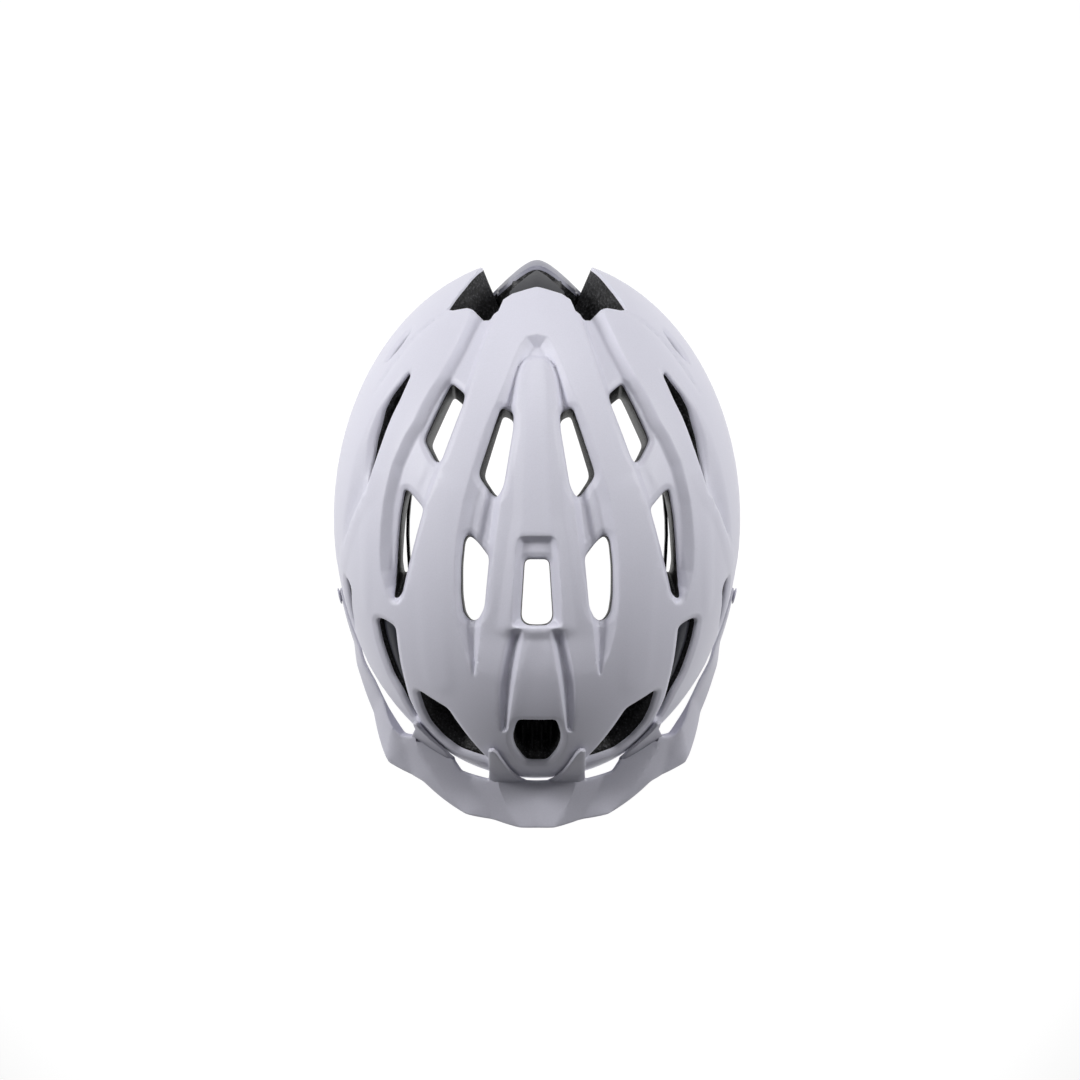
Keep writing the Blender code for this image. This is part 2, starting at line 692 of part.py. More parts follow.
def patch_of(name, outline, outer, inner, colour, roughness, pitch=12.0, edge=7.0):
    loop = clean(spaced(outline, edge))
    grid = free_points([loop], np.asarray(loop) - np.mean(loop, axis=0), pitch)
    centre = np.mean(loop, axis=0)
    grid = np.array(grid).reshape(-1, 2) + centre
    keep = inside(grid, loop) & (edge_distance(grid, loop) > 0.42 * pitch) if len(grid) else []
    uv, tris = triangulated([loop], [tuple(p) for p in grid[keep]] if len(grid) else [])
    tris = tris[inside(uv[tris].mean(axis=1), loop)]
    verts, faces = thick_patch(uv, tris, outer, inner)
    return add(name, verts, faces, colour, roughness)


def build_inserts():
    panel = full_loop([around(180, 52.8), around(176, 52.0), around(172.6, 50.2),
                       plan(-12.4, 120.0), plan(-6.0, 121.8), plan(0, 123.2)])
    deep = 7.6
    patch_of("rear_panel", panel, lambda p: at_depth(p, np.full(len(p), deep)),
             lambda p: at_depth(p, np.full(len(p), deep + 2.0)), (0.09, 0.09, 0.10), 0.35)
    for side, loop in zip(("left", "right"), both_sides(pattern(INSERT))):
        patch_of("vent_insert_" + side, loop,
                 lambda p: at_depth(p, relief(p) + 9.6), lambda p: at_depth(p, relief(p) + 11.2),
                 (0.045, 0.048, 0.06), 0.35)


# ---------------------------------------------------------------- visor

VISOR_THICKNESS = 1.8
LIFT = 0.7
# Tilt of the brim below level and height of its root, against degrees from the front.
BRIM = [(0, 8, 41.5), (15, 11, 41.5), (27, 18, 41), (36, 32, 41), (46, 54, 38),
        (54, 70, 34.8), (62, 82, 32.3), (76, 88, 29.6)]
BRIM_REACH = 1.0035


def brim_at(turn):
    rows = np.asarray(BRIM, float)
    a = np.abs(turn)
    return np.radians(np.interp(a, rows[:, 0], rows[:, 1])), np.interp(a, rows[:, 0], rows[:, 2])


def visor_point(turn, across):
    """Visor underside: turn is signed degrees from the front (left negative); across runs
    outward over the brim in millimetres, or, below zero, up over the shell."""
    turn, across = np.asarray(turn, float), np.asarray(across, float)
    tilt, root = brim_at(turn)
    a = np.radians(turn)
    seat = 1.7 * eased((np.abs(turn) - 56) / 6)
    w, l, rise = HALF_WIDTH + LIFT - seat, HALF_LENGTH + LIFT - seat, CROWN_RISE + LIFT
    h = (root - WIDEST_Z) / rise
    base = np.arctan2((1 - h ** SQUARENESS) ** (1 / SQUARENESS), h)
    down = base + np.minimum(across, 0) / 118.0
    s, c = np.sin(down), np.cos(down)
    g = (s ** SQUARENESS + np.abs(c) ** SQUARENESS) ** (-1 / SQUARENESS)
    reach, z = g * s, WIDEST_Z + rise * g * c
    out = np.maximum(across, 0)
    normal = np.stack([np.sin(a) / w, -np.cos(a) / l], axis=-1)
    normal /= np.linalg.norm(normal, axis=-1, keepdims=True)
    lead = np.clip(out / 3.0, 0, 1) * (BRIM_REACH - reach) * np.hypot(w * np.sin(a), l * np.cos(a))
    step = out * np.cos(tilt) + np.maximum(lead, 0)
    x = w * reach * np.sin(a) + normal[..., 0] * step
    y = -l * reach * np.cos(a) + normal[..., 1] * step
    return np.stack([x, y, z - out * np.sin(tilt)], axis=-1)


def on_brim(turn, reach):
    """Distance across the brim that gives this fraction of the envelope in plan."""
    tilt, _ = brim_at(turn)
    a = math.radians(turn)
    return (reach - BRIM_REACH) * math.hypot(HALF_WIDTH * math.sin(a),
                                             HALF_LENGTH * math.cos(a)) / math.cos(float(tilt))


def on_shell(turn, reach):
    """The same for a point of a prong lying on the shell."""
    _, root = brim_at(turn)
    h = (float(root) - WIDEST_Z) / CROWN_RISE
    base = math.atan2((1 - h ** SQUARENESS) ** (1 / SQUARENESS), h)
    return -118.0 * (base - math.atan2(reach, (1 - reach ** SQUARENESS) ** (1 / SQUARENESS)))


SLOT_HALF = 3.65
VISOR_EDGE = [(0, on_brim(0, 1.174)), (3.6, on_brim(3.6, 1.1725)), (9.0, on_brim(9, 1.162)),
              (15.4, on_brim(15.4, 1.1665)), (21, on_brim(21, 1.151)), (27, on_brim(27, 1.1334)),
              (31.5, on_brim(31.5, 1.146)), (35.0, on_brim(35, 1.1525)),
              (46.1, 16.5), (54.0, 15.5), (62.3, 13.2), (74.4, 10.8)]
VISOR_ROOT = [(74.4, 0.6), (68.0, 0.0), (60.0, 0.0), (52.0, 0.3), (44.0, 3.2),
              (37.5, 5.2), (35.6, 2.0), (36.2, on_shell(36.2, 0.972)),
              (37.6, on_shell(37.6, 0.957)), (36.6, on_shell(36.6, 0.951)),
              (35.2, on_shell(35.2, 0.957)), (30.5, on_shell(30.5, 0.969)),
              (26.4, on_shell(26.4, 0.978)), (23.5, 0.6), (20.4, 3.0), (12.9, 2.2),
              (13.6, on_shell(13.6, 0.96)), (14.4, on_shell(14.4, 0.91)),
              (14.9, on_shell(14.9, 0.884)), (13.4, on_shell(13.4, 0.876)),
              (12.0, on_shell(12.0, 0.886)), (9.7, on_shell(9.7, 0.918)),
              (6.4, on_shell(6.4, 0.963)), (3.3, 0.4), (0, 0.4)]
RIDGES = [((37.0, on_shell(37.0, 0.956)), (35.8, 0.0), (15.4, on_brim(15.4, 1.1665))),
          ((14.0, on_shell(14.0, 0.882)), (11.0, 0.0), (3.6, on_brim(3.6, 1.1725)))]
PER_DEGREE = 2.25


def build_visor():
    slot = [(74.4, 5.6 + SLOT_HALF), (72.3, 5.6 + SLOT_HALF), (71.0, 5.6 + 1.9),
            (71.0, 5.6 - 1.9), (72.3, 5.6 - SLOT_HALF), (74.4, 5.6 - SLOT_HALF)]
    half = [(t, w) for t, w in VISOR_EDGE] + slot + VISOR_ROOT
    left = [(-t * PER_DEGREE, w) for t, w in half]
    outline = clean(spaced(left + [(-x, w) for x, w in reversed(left) if abs(x) > 1e-6], 8.0))
    loop = outline if area(outline) > 0 else outline[::-1]
    points, edges = [Vector(p) for p in loop], []
    edges += [(i, (i + 1) % len(loop)) for i in range(len(loop))]
    ridge_lines = []
    for ridge in RIDGES:
        for side in (-1, 1):
            line = spaced([(side * t * PER_DEGREE, w) for t, w in ridge], 8.0, closed=False)
            ridge_lines.append(line)
            first = len(points)
            points += [Vector(p) for p in line[1:-1]]
            edges += [(first + i, first + i + 1) for i in range(len(line) - 3)]
    span = np.asarray(loop)
    grid = [(x, y) for x in np.arange(span[:, 0].min(), span[:, 0].max(), 11.0)
            for y in (-28, -20, -12, -6, 0.0, 3.0, 9, 17)]
    grid = np.array(grid)
    keep = inside(grid, loop) & (edge_distance(grid, loop) > 2.5)
    for line in ridge_lines:
        keep &= edge_distance(grid, line, closed=False) > 2.5
    points += [Vector(p) for p in grid[keep]]
    verts, _, faces, _, _, _ = delaunay_2d_cdt(points, edges, [], 0, 1e-5)
    uv = np.array([tuple(v) for v in verts])
    tris = np.array([f for f in faces if len(f) == 3])
    a, b, c = uv[tris[:, 0]], uv[tris[:, 1]], uv[tris[:, 2]]
    turn = (b[:, 0] - a[:, 0]) * (c[:, 1] - a[:, 1]) - (b[:, 1] - a[:, 1]) * (c[:, 0] - a[:, 0])
    tris[turn < 0] = tris[turn < 0][:, ::-1]
    tris = tris[inside(uv[tris].mean(axis=1), loop)]
    # Brim outward is pattern down, so the skins are swapped to face outward.
    tris = tris[:, ::-1]

    def under(p):
        return visor_point(p[:, 0] / PER_DEGREE, p[:, 1])

    def top(p):
        e = 0.25
        du = under(p + [e, 0]) - under(p - [e, 0])
        dv = under(p + [0, e]) - under(p - [0, e])
        n = np.cross(dv, du)
        n /= np.linalg.norm(n, axis=1, keepdims=True)
        raised = np.zeros(len(p))
        for line in ridge_lines:
            raised = np.maximum(raised, 1.6 * (1 - np.clip(
                edge_distance(p, line, closed=False) / 14.0, 0, 1)))
        return under(p) + n * (VISOR_THICKNESS + raised)[:, None]

    verts, faces = thick_patch(uv, tris, top, under)
    add("visor", verts, outward(verts, faces), (0.66, 0.66, 0.72), 0.45)
    for side, name in ((-1, "visor_stud_left"), (1, "visor_stud_right")):
        at = visor_point(np.array([side * 72.7]), np.array([5.6]))[0]
        facing = (side * 0.971, -0.238, 0.0)
        placing = frame_matrix(at, facing, (0, 0, 1))
        turned(name, [(2.6, -0.25), (3.0, 0.1), (3.0, 2.2), (4.4, 2.3), (4.4, 2.6), (3.8, 2.9),
                      (1.2, 3.0)], placing, (0.66, 0.66, 0.72), 20, roughness=0.4)


# ---------------------------------------------------------------- pads

def cavity_skin(extra):
    return lambda p: at_depth(p, cavity_depth(p) + extra)


def pad(name, outline):
    """Comfort pad that lies along the cavity."""
    patch_of(name, rounded(outline), cavity_skin(PAD_GAP), cavity_skin(PAD_GAP + PAD_THICKNESS),
             PAD, 0.9, 16.0, 11.0)


def build_pads():
    brow = [(0, 13), (20, 12), (40, 10), (48, 10.5), (54, 14), (56, 20), (50, 28), (40, 34),
            (20, 39), (0, 40)]
    pad("brow_pad", full_loop([around(a, z) for a, z in brow]))
    crown = [plan(x, y) for x, y in ((-8, 58), (-9.5, 40), (-11.5, 12), (-10, -3), (10, -3),
                                     (11.5, 12), (9.5, 40), (8, 58))]
    pad("crown_pad", crown)
    rib = [plan(x, y) for x, y in
           ((-25, 82), (-31, 80), (-36, 56), (-44, 28), (-54, 1), (-61, -28), (-60, -54),
            (-50, -56), (-43, -20), (-34.5, 14), (-27, 46))]
    flank = [around(a, z) for a, z in
             ((103, 24), (105, 15), (112, 10), (120, 10), (125, 16), (125, 27), (119, 33), (109, 34))]
    for side, rib_loop, flank_loop in zip(("left", "right"), both_sides(rib), both_sides(flank)):
        pad("rib_pad_" + side, rib_loop)
        pad("side_pad_" + side, flank_loop)


# ---------------------------------------------------------------- fit system

DIAL_AT = (0.0, 80.0, -42.0)
DIAL_RADIUS = 14.0
PINION_RADIUS = 4.0
BELT_THICKNESS = 1.6
BELT_HALF_HEIGHT = 5.0
RACK_OFFSET = 4.7
TEMPLE_AT = (67.5, -58.0, 0.0)
CRADLE_AXIS = (0.0, -57.2, 0.0)
TEETH = 10
RACK_Y = 78.0
RACK_THICKNESS = 1.5
RACK_NECK = 1.25
STRIP_END = 1.4
RACK_BACK = 1.6
RACK_START = -24.6
RACK_END = 9.0


def belt_path(side):
    """Centre line of a fit belt from the temple to the end of its rack inside the housing."""
    rack_z = DIAL_AT[2] + side * RACK_OFFSET
    knots = [(-63.8, -56.8, 0.0), (-68.5, -45.0, -1.5), (-71.0, -20.0, -5.0), (-71.5, 0.0, -9.0),
             (-69.0, 22.0, -15.0), (-63.0, 43.0, -23.0), (-54.0, 60.5, -30.0),
             (-46.0, 71.5, rack_z * 0.6 - 14.0), (-39.5, 76.8, rack_z), (-34.0, 78.0, rack_z),
             (-20.0, 78.0, rack_z)]
    return knots


def smooth_path(knots, per=2):
    """Points along a curve through the knots."""
    out = []
    k = [Vector(p) for p in knots]
    for i in range(len(k) - 1):
        a, b = k[max(i - 1, 0)], k[i]
        c, d = k[i + 1], k[min(i + 2, len(k) - 1)]
        for j in range(per):
            t = j / per
            out.append(0.5 * ((2 * b) + (c - a) * t + (2 * a - 5 * b + 4 * c - d) * t * t
                              + (3 * b - a - 3 * c + d) * t ** 3))
    out.append(k[-1])
    return out


def strip(path, up, width, thickness):
    """Rectangular strip along a path; up gives the width direction at each point."""
    rings = []
    for i, p in enumerate(path):
        tangent = (path[min(i + 1, len(path) - 1)] - path[max(i - 1, 0)]).normalized()
        w = Vector(up[i] if isinstance(up, list) else up)
        w = (w - tangent * w.dot(tangent)).normalized() * (width / 2)
        n = tangent.cross(w).normalized() * (thickness / 2)
        rings.append([p + w + n, p - w + n, p - w - n, p + w - n])
    return swept(rings)


def rack_outline(side, rack_z):
    """Rack in X and Z: a bar with trapezoid teeth that face the pinion."""
    pitch = 2 * math.pi * PINION_RADIUS / TEETH
    back = rack_z + side * RACK_BACK
    tip = DIAL_AT[2] + side * (PINION_RADIUS - 0.55)
    root = DIAL_AT[2] + side * (PINION_RADIUS + 0.85)
    valley = root + side * 0.15
    points = [(RACK_START, rack_z + side * RACK_NECK), (RACK_START, rack_z - side * RACK_NECK),
              (-6.6 * pitch, rack_z - side * RACK_NECK), (-6.5 * pitch, valley)]
    for k in range(-6, 4):
        x = k * pitch
        points += [(x - 0.28 * pitch, root), (x - 0.08 * pitch, tip), (x + 0.08 * pitch, tip),
                   (x + 0.28 * pitch, root), (x + 0.5 * pitch, valley)]
    return points[:-1] + [(RACK_END, valley), (RACK_END, back), (-6.4 * pitch, back)]


def build_belts():
    for side, name in ((1, "left"), (-1, "right")):
        rack_z = DIAL_AT[2] + side * RACK_OFFSET
        knots = belt_path(side)
        path = smooth_path(knots[:-1], 2) + [Vector(knots[-1])]
        flip = -1 if name == "right" else 1
        rings = []
        for i, p in enumerate(path):
            tangent = (path[min(i + 1, len(path) - 1)] - path[max(i - 1, 0)]).normalized()
            # The strip narrows to the height of its rack before it reaches the housing.
            narrow = min(1.0, max(0.0, (p.x + 62.0) / 23.0))
            w = Vector((0, 0, 1))
            w = (w - tangent * w.dot(tangent)).normalized() * (
                BELT_HALF_HEIGHT + (STRIP_END - BELT_HALF_HEIGHT) * narrow)
            n = tangent.cross(w).normalized() * (BELT_THICKNESS / 2)
            corners = (p + w + n, p - w + n, p - w - n, p + w - n)
            rings.append([(flip * q.x, q.y, q.z) for q in corners])
        start = (-20.0 * flip, RACK_Y, rack_z)
        verts, faces = swept(rings)
        belt = add("belt_" + name, verts, faces, BLACK, 0.45, origin=start)
        # The bar with teeth continues the strip inside the housing.
        facing = frame_matrix((0.0, RACK_Y, 0.0), (0, -1, 0), (1, 0, 0))
        outline = [(flip * x, z) for x, z in rack_outline(side, rack_z)]
        rack = plate("rack_" + name, outline, -RACK_THICKNESS / 2, RACK_THICKNESS / 2, facing,
                     BLACK, 0.0, origin=start)
        combine(belt, [hidden(rack)], "UNION", "MANIFOLD")


def gear_outline(radius, teeth):
    out = []
    for i in range(teeth):
        a = 2 * math.pi * i / teeth
        for part, r in ((-0.26, radius - 0.9), (-0.12, radius + 0.45), (0.12, radius + 0.45),
                        (0.26, radius - 0.9)):
            b = a + part * 2 * math.pi / teeth
            out.append((r * math.cos(b), r * math.sin(b)))
    return out


def build_dial():
    facing = frame_matrix(DIAL_AT, (0, 1, 0), (1, 0, 0))
    # Housing: a shallow case open to the rear, with slots at both ends for the belts.
    case = plate("dial_housing", rounded_rect(44.0, 30.0, 9.0, 5), -5.2, 1.6, facing, BLACK, 0.8,
                 origin=CRADLE_AXIS, roughness=0.4)
    combine(case, [box("housing_room", (41.0, 13.4, 3.0), facing, (0.0, 0.0, -2.0)),
                   box("belt_slots", (60.0, 14.6, 2.8), facing, (0.0, 0.0, -2.0)),
                   cylinder("shaft_hole", 5.2, -1.0, 4.0, facing)], "DIFFERENCE")
    # Dial with finger grips, its pinion, a screw and a click spring.
    grips = []
    for i in range(36):
        a = 2 * math.pi * i / 36
        r = DIAL_RADIUS - (0.9 if i % 3 == 0 else 0.0)
        grips.append((r * math.cos(a), r * math.sin(a)))
    dial = plate("fit_dial", grips, 2.0, 9.4, facing, (0.05, 0.05, 0.055), 0.9, roughness=0.5)
    combine(dial, [cylinder("screw_well", 4.6, 7.6, 12.0, facing),
                   cylinder("spring_room", 9.0, 1.0, 3.9, facing)], "DIFFERENCE")
    combine(dial, [cylinder("dial_shaft", 2.4, 1.0, 6.0, facing, 16)], "UNION")
    plate("dial_pinion", gear_outline(PINION_RADIUS, TEETH), -3.2, 0.6, facing, STEEL, 0.15,
          roughness=0.35)
    turned("dial_screw", [(4.0, 7.95), (4.0, 9.0), (3.2, 9.3)], facing, STEEL, 20,
           roughness=0.3, metallic=1.0)
    # The click spring is an open ring of flat strip whose bumps ride on the dial's teeth.
    outer, inner = [], []
    for i in range(33):
        a = math.radians(20 + 320 * i / 32)
        r = 7.2 + (0.35 if i % 4 == 2 else 0)
        outer.append(((r + 0.4) * math.cos(a), (r + 0.4) * math.sin(a)))
        inner.append(((r - 0.4) * math.cos(a), (r - 0.4) * math.sin(a)))
    plate("click_spring", outer + inner[::-1], 2.1, 3.2, facing, STEEL, 0.0, origin=DIAL_AT,
          roughness=0.3, metallic=1.0)


def build_cradle():
    # Height arm: a tongue from the housing up inside the rear of the liner.
    arm = smooth_path([(0, 76.0, -24.5), (0, 80.5, -18.0), (0, 83.5, -8.0), (0, 84.0, 8.0)], 3)
    verts, faces = strip(arm, (1, 0, 0), 16.0, 1.6)
    add("height_arm", verts, faces, BLACK, 0.45, origin=CRADLE_AXIS)
    placing = frame_matrix((0, 89.9, 2.0), (0, 1, 0), (1, 0, 0))
    plate("arm_rail", rounded_rect(22.0, 26.0, 4.0, 4), -1.4, 1.2, placing,
          (0.04, 0.04, 0.045), 0.5, roughness=0.5)
    # Nape yoke: a hoop under the housing that cups the back of the head.
    outer = smooth_path([(-30, 66.0, -64.0), (-18, 72.5, -68.5), (0, 75.0, -70.0),
                         (18, 72.5, -68.5), (30, 66.0, -64.0)], 4)
    verts, faces = strip(outer, (0, 0.2, 1), 9.0, 1.8)
    yoke = add("nape_yoke", verts, faces, BLACK, 0.45, origin=CRADLE_AXIS)
    for side in (-1, 1):
        stem = smooth_path([(side * 15, 76.4, -58.4), (side * 15, 76.2, -60.0),
                            (side * 16, 75.2, -64.5),
                            (side * 17, 72.9, -69.0)], 3)
        verts, faces = strip(stem, (1, 0, 0), 6.0, 1.8)
        combine(yoke, [hidden(add("yoke_stem_%+d" % side, verts, faces, BLACK))], "UNION")
    for side, name in ((-1, "left"), (1, "right")):
        base = frame_matrix((side * TEMPLE_AT[0], TEMPLE_AT[1], TEMPLE_AT[2]),
                            (side * 0.9013, -0.4333, 0.0), (0, 0, 1))
        turned("temple_anchor_" + name, [(2.2, -2.6), (2.2, -1.9), (5.5, -1.85), (5.5, -0.75)],
               base, BLACK, 16, roughness=0.45)


# ---------------------------------------------------------------- webbing and hardware

WEB_WIDTH = 15.0
WEB_THICKNESS = 1.2
FRONT_ANCHOR = (-84.0, -50.0)
REAR_ANCHOR = (-80.0, 50.0)
DIVIDER_AT = (-80.5, -37.5, -70.0)
BUCKLE_AT = (0.0, -80.0, -160.0)


def rim_height(x, y):
    a = math.degrees(math.acos(-(y / HALF_LENGTH) / math.hypot(x / HALF_WIDTH, y / HALF_LENGTH)))
    return height_on(RIM, a)


def web(name, knots, widths, per=3):
    path = smooth_path(knots, per)
    count = len(path)
    up = []
    for i in range(count):
        t = i / (count - 1) * (len(widths) - 1)
        k = min(int(t), len(widths) - 2)
        up.append(Vector(widths[k]).lerp(Vector(widths[k + 1]), t - k))
    verts, faces = strip(path, up, WEB_WIDTH, WEB_THICKNESS)
    return add(name, verts, faces, WEB, 0.85, origin=tuple(path[0]))


def flipped(points, side):
    return [(x * (1 if side == "left" else -1), y, z) for x, y, z in points]


def build_straps():
    for side in ("left", "right"):
        s = -1 if side == "left" else 1
        for where, (x, y) in (("front", FRONT_ANCHOR), ("rear", REAR_ANCHOR)):
            z = rim_height(x, y)
            low = z - 5.85
            placing = Matrix.Translation(Vector((-s * x, y, low)))
            plate("strap_anchor_%s_%s" % (where, side), rounded_rect(7.0, 20.0, 3.0, 4),
                  0.0, 4.6, placing, BLACK, 0.6, roughness=0.5)
        fz = rim_height(*FRONT_ANCHOR) - 6.6
        rz = rim_height(*REAR_ANCHOR) - 6.6
        dx, dy, dz = DIVIDER_AT
        front = [(FRONT_ANCHOR[0], FRONT_ANCHOR[1], fz - 0.8), (-83.0, -48.0, fz - 18),
                 (-81.5, -44.5, -42.0), (dx, dy - 6.0, dz + 9.0), (dx, dy - 6.0, dz + 1.0)]
        rear = [(REAR_ANCHOR[0], REAR_ANCHOR[1], rz - 6.4), (-80.4, 40.0, rz - 13.5),
                (-80.8, 12.0, -38.0), (dx, dy + 13.0, dz + 9.5)]
        web("front_strap_" + side, flipped(front, side), [(0, 1, 0), (0, 1, 0)])
        web("rear_strap_" + side, flipped(rear, side), [(0, 1, 0), (0, 1, 0)])
        placing = frame_matrix((-s * dx, dy, dz), (s, 0, 0), (0, 1, 0))
        body = plate("divider_" + side, rounded_rect(32.0, 20.0, 5.0, 4), -2.6, 2.6, placing,
                     BLACK, 0.8, roughness=0.4)
        combine(body, [box("web_slot_" + side, (2.2, 32.0, 30.0), Matrix.Translation(
            (-s * dx, dy + 2.2, dz)))], "DIFFERENCE")
        hinge = (-s * (dx - 4.6), dy, dz + 7.0)
        lever = frame_matrix(hinge, (s, 0, 0), (0, 1, 0))
        down = -1 if lever.col[1].z > 0 else 1
        outline = [(x, y + 7.0 * down) for x, y in rounded_rect(17.0, 16.0, 2.4, 3)]
        plate("divider_lever_" + side, outline, -1.4, 1.6, lever, (0.04, 0.04, 0.045), 0.5,
              roughness=0.35)
    end = 27.0
    bx, by, bz = BUCKLE_AT
    down = [(DIVIDER_AT[0], DIVIDER_AT[1] - 6.0, DIVIDER_AT[2] + 0.4),
            (DIVIDER_AT[0], DIVIDER_AT[1] - 6.0, DIVIDER_AT[2] - 10.6), (-79.0, -45.0, -97.0),
            (-70.0, -58.0, -124.0), (-50.0, -71.0, -147.0), (bx - end - 10, by, bz + 0.6),
            (bx - end, by, bz)]
    wide = [(0, 1, 0), (0, 1, 0), (0, 1, -0.1), (0, 1, 0), (0, 1, 0)]
    web("chin_strap_left", down, wide, 3)
    web("chin_strap_right", flipped(down, "right"), wide, 3)
    path = smooth_path(down, 3)
    keeper = frame_matrix(path[8], path[9] - path[7], (0, 1, 0))
    ring = plate("strap_keeper", rounded_rect(19.6, 7.0, 2.0, 3), -3.5, 3.5, keeper, BLACK, 0.5,
                 roughness=0.5)
    combine(ring, [box("keeper_mouth", (16.2, 3.7, 12.0), keeper)], "DIFFERENCE")


def build_buckle():
    bx, by, bz = BUCKLE_AT
    here = Matrix.Translation(Vector(BUCKLE_AT))
    female = plate("buckle_female", [(x - 11.0, y) for x, y in rounded_rect(28.0, 25.0, 5.0, 5)],
                   -4.6, 4.6, here, BLACK, 1.0, roughness=0.35)
    combine(female, [box("buckle_mouth", (24.0, 19.6, 5.0), here, (-7.0, 0.0, 0.0)),
                     box("catch_windows", (10.5, 40.0, 5.0), here, (-9.6, 0.0, 0.0))],
            "DIFFERENCE")
    head = plate("buckle_male", [(x + 14.8, y) for x, y in rounded_rect(21.0, 25.0, 5.0, 5)],
                 -4.6, 4.6, here, BLACK, 1.0, roughness=0.35)
    for side, name in ((-1, "front"), (1, "rear")):
        prong = [(3.9, side * 4.8), (3.9, side * 8.2), (-5.0, side * 8.4), (-7.0, side * 9.4),
                 (-11.5, side * 9.4), (-14.6, side * 8.0), (-14.6, side * 6.6),
                 (-5.0, side * 6.4)]
        plate("buckle_prong_" + name, prong, -2.0, 2.0, here, BLACK, 0.3, roughness=0.4,
              origin=(bx + 3.4, by + side * 6.5, bz))
    tongue = plate("buckle_tongue", [(6.0, -2.2), (6.0, 2.2), (-14.0, 1.6), (-14.0, -1.6)], -1.8,
                   1.8, here, BLACK, 0.3)
    combine(head, [hidden(tongue)], "UNION")


build_shells()
build_inserts()
build_visor()
build_pads()
build_belts()
build_dial()
build_cradle()
build_straps()
build_buckle()
bpy.context.view_layer.update()
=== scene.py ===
"""Looks of a cycling helmet: moulded shells, foam liner, visor, pads, webbing and fit system.

Lengths are in millimetres in the row frame and scaled to metres when a mesh is made.
"""

import json
import math

import bpy
import numpy as np
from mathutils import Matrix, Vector
from mathutils.geometry import delaunay_2d_cdt

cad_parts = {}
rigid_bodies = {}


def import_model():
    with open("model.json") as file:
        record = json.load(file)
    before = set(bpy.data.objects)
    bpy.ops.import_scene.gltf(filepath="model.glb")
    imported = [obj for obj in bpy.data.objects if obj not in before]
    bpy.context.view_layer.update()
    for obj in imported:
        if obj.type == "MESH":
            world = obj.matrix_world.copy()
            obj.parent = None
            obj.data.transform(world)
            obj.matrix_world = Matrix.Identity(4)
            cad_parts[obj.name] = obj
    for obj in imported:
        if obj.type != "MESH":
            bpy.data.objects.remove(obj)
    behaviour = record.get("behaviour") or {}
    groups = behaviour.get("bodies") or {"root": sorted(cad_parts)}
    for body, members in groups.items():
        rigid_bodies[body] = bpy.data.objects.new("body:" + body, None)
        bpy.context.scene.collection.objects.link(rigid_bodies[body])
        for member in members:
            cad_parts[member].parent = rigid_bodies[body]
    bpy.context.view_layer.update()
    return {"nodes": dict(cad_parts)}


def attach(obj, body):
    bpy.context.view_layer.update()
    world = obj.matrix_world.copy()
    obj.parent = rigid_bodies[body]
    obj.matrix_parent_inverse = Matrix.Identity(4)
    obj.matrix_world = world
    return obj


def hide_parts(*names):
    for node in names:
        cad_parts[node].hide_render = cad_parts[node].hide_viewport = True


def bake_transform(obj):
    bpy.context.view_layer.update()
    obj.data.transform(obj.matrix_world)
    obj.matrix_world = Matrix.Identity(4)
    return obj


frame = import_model()

MM = 0.001

# Outer envelope: a superellipsoid, wider than a true ellipsoid at its shoulders.
HALF_WIDTH = 110.0
HALF_LENGTH = 141.0
CROWN_RISE = 100.0
LOWER_DROP = 120.0
SQUARENESS = 2.2
WIDEST_Z = 25.0

# Head cavity: an ellipsoid above the brow, a straight elliptic tube below it.
CAVITY_HALF_WIDTH = 79.0
CAVITY_HALF_LENGTH = 100.0
CAVITY_RISE = 97.0
CAVITY_Y = -6.0

SHELL_THICKNESS = 1.6
FOAM_GAP = 0.15
SEAM = 0.6
PAD_GAP = 1.4
PAD_THICKNESS = 6.0

# Spacing of the fine meshes.
GRID = 2.6
ROW_PITCH = 1.7

# Bottom edge of the helmet and the seam between the two shells, as
# (degrees from the front, height).
RIM = [(0, 4), (35, -4), (80, 8), (120, -12), (150, -26), (180, -26)]
SEAM_LINE = [(0, 22), (30, 20), (60, 18), (120, 18), (145, 22), (160, 26.5), (164.4, 30)]

TINY = 1e-12


# ---------------------------------------------------------------- surface mapping

# The higher, the later the walls turn from plumb at the crown to level at the widest part.
TURN_POWER = 4
DEEPEST = 62.0
HALVINGS = 30


def spherical(uv):
    """Angle down from the crown and angle round it, for points of the flat pattern."""
    u, v = (np.atleast_2d(np.asarray(uv, float)) / (HALF_WIDTH, HALF_LENGTH)).T
    return np.hypot(u, v), np.arctan2(v, u)


def swell(s, c):
    """Factor from the unit circle to the unit superellipse."""
    return (np.abs(s) ** SQUARENESS + np.abs(c) ** SQUARENESS) ** (-1.0 / SQUARENESS)


def partner(share):
    """Second coordinate of the point of the unit superellipse that has this first one."""
    return (1 - abs(share) ** SQUARENESS) ** (1 / SQUARENESS)


def dome(uv):
    """Points of the outer envelope."""
    down, turn = spherical(uv)
    s, c = np.sin(down), np.cos(down)
    g = swell(s, c)
    rise = np.where(c > 0, CROWN_RISE, LOWER_DROP)
    return np.stack([HALF_WIDTH * g * s * np.cos(turn), HALF_LENGTH * g * s * np.sin(turn),
                     WIDEST_Z + rise * g * c], axis=1)


def inward(uv):
    """Directions in which walls and vents run: down at the crown, level at the widest part."""
    down, turn = spherical(uv)
    s, c = np.sin(down), np.cos(down)
    tilt = 0.5 * math.pi * unit(np.where(c > 0, swell(s, c) * s, 1.0)) ** TURN_POWER
    level = np.stack([np.cos(turn) / HALF_WIDTH, np.sin(turn) / HALF_LENGTH], axis=1)
    level /= np.maximum(np.linalg.norm(level, axis=1, keepdims=True), TINY)
    return np.concatenate([-level * np.sin(tilt)[:, None], -np.cos(tilt)[:, None]], axis=1)


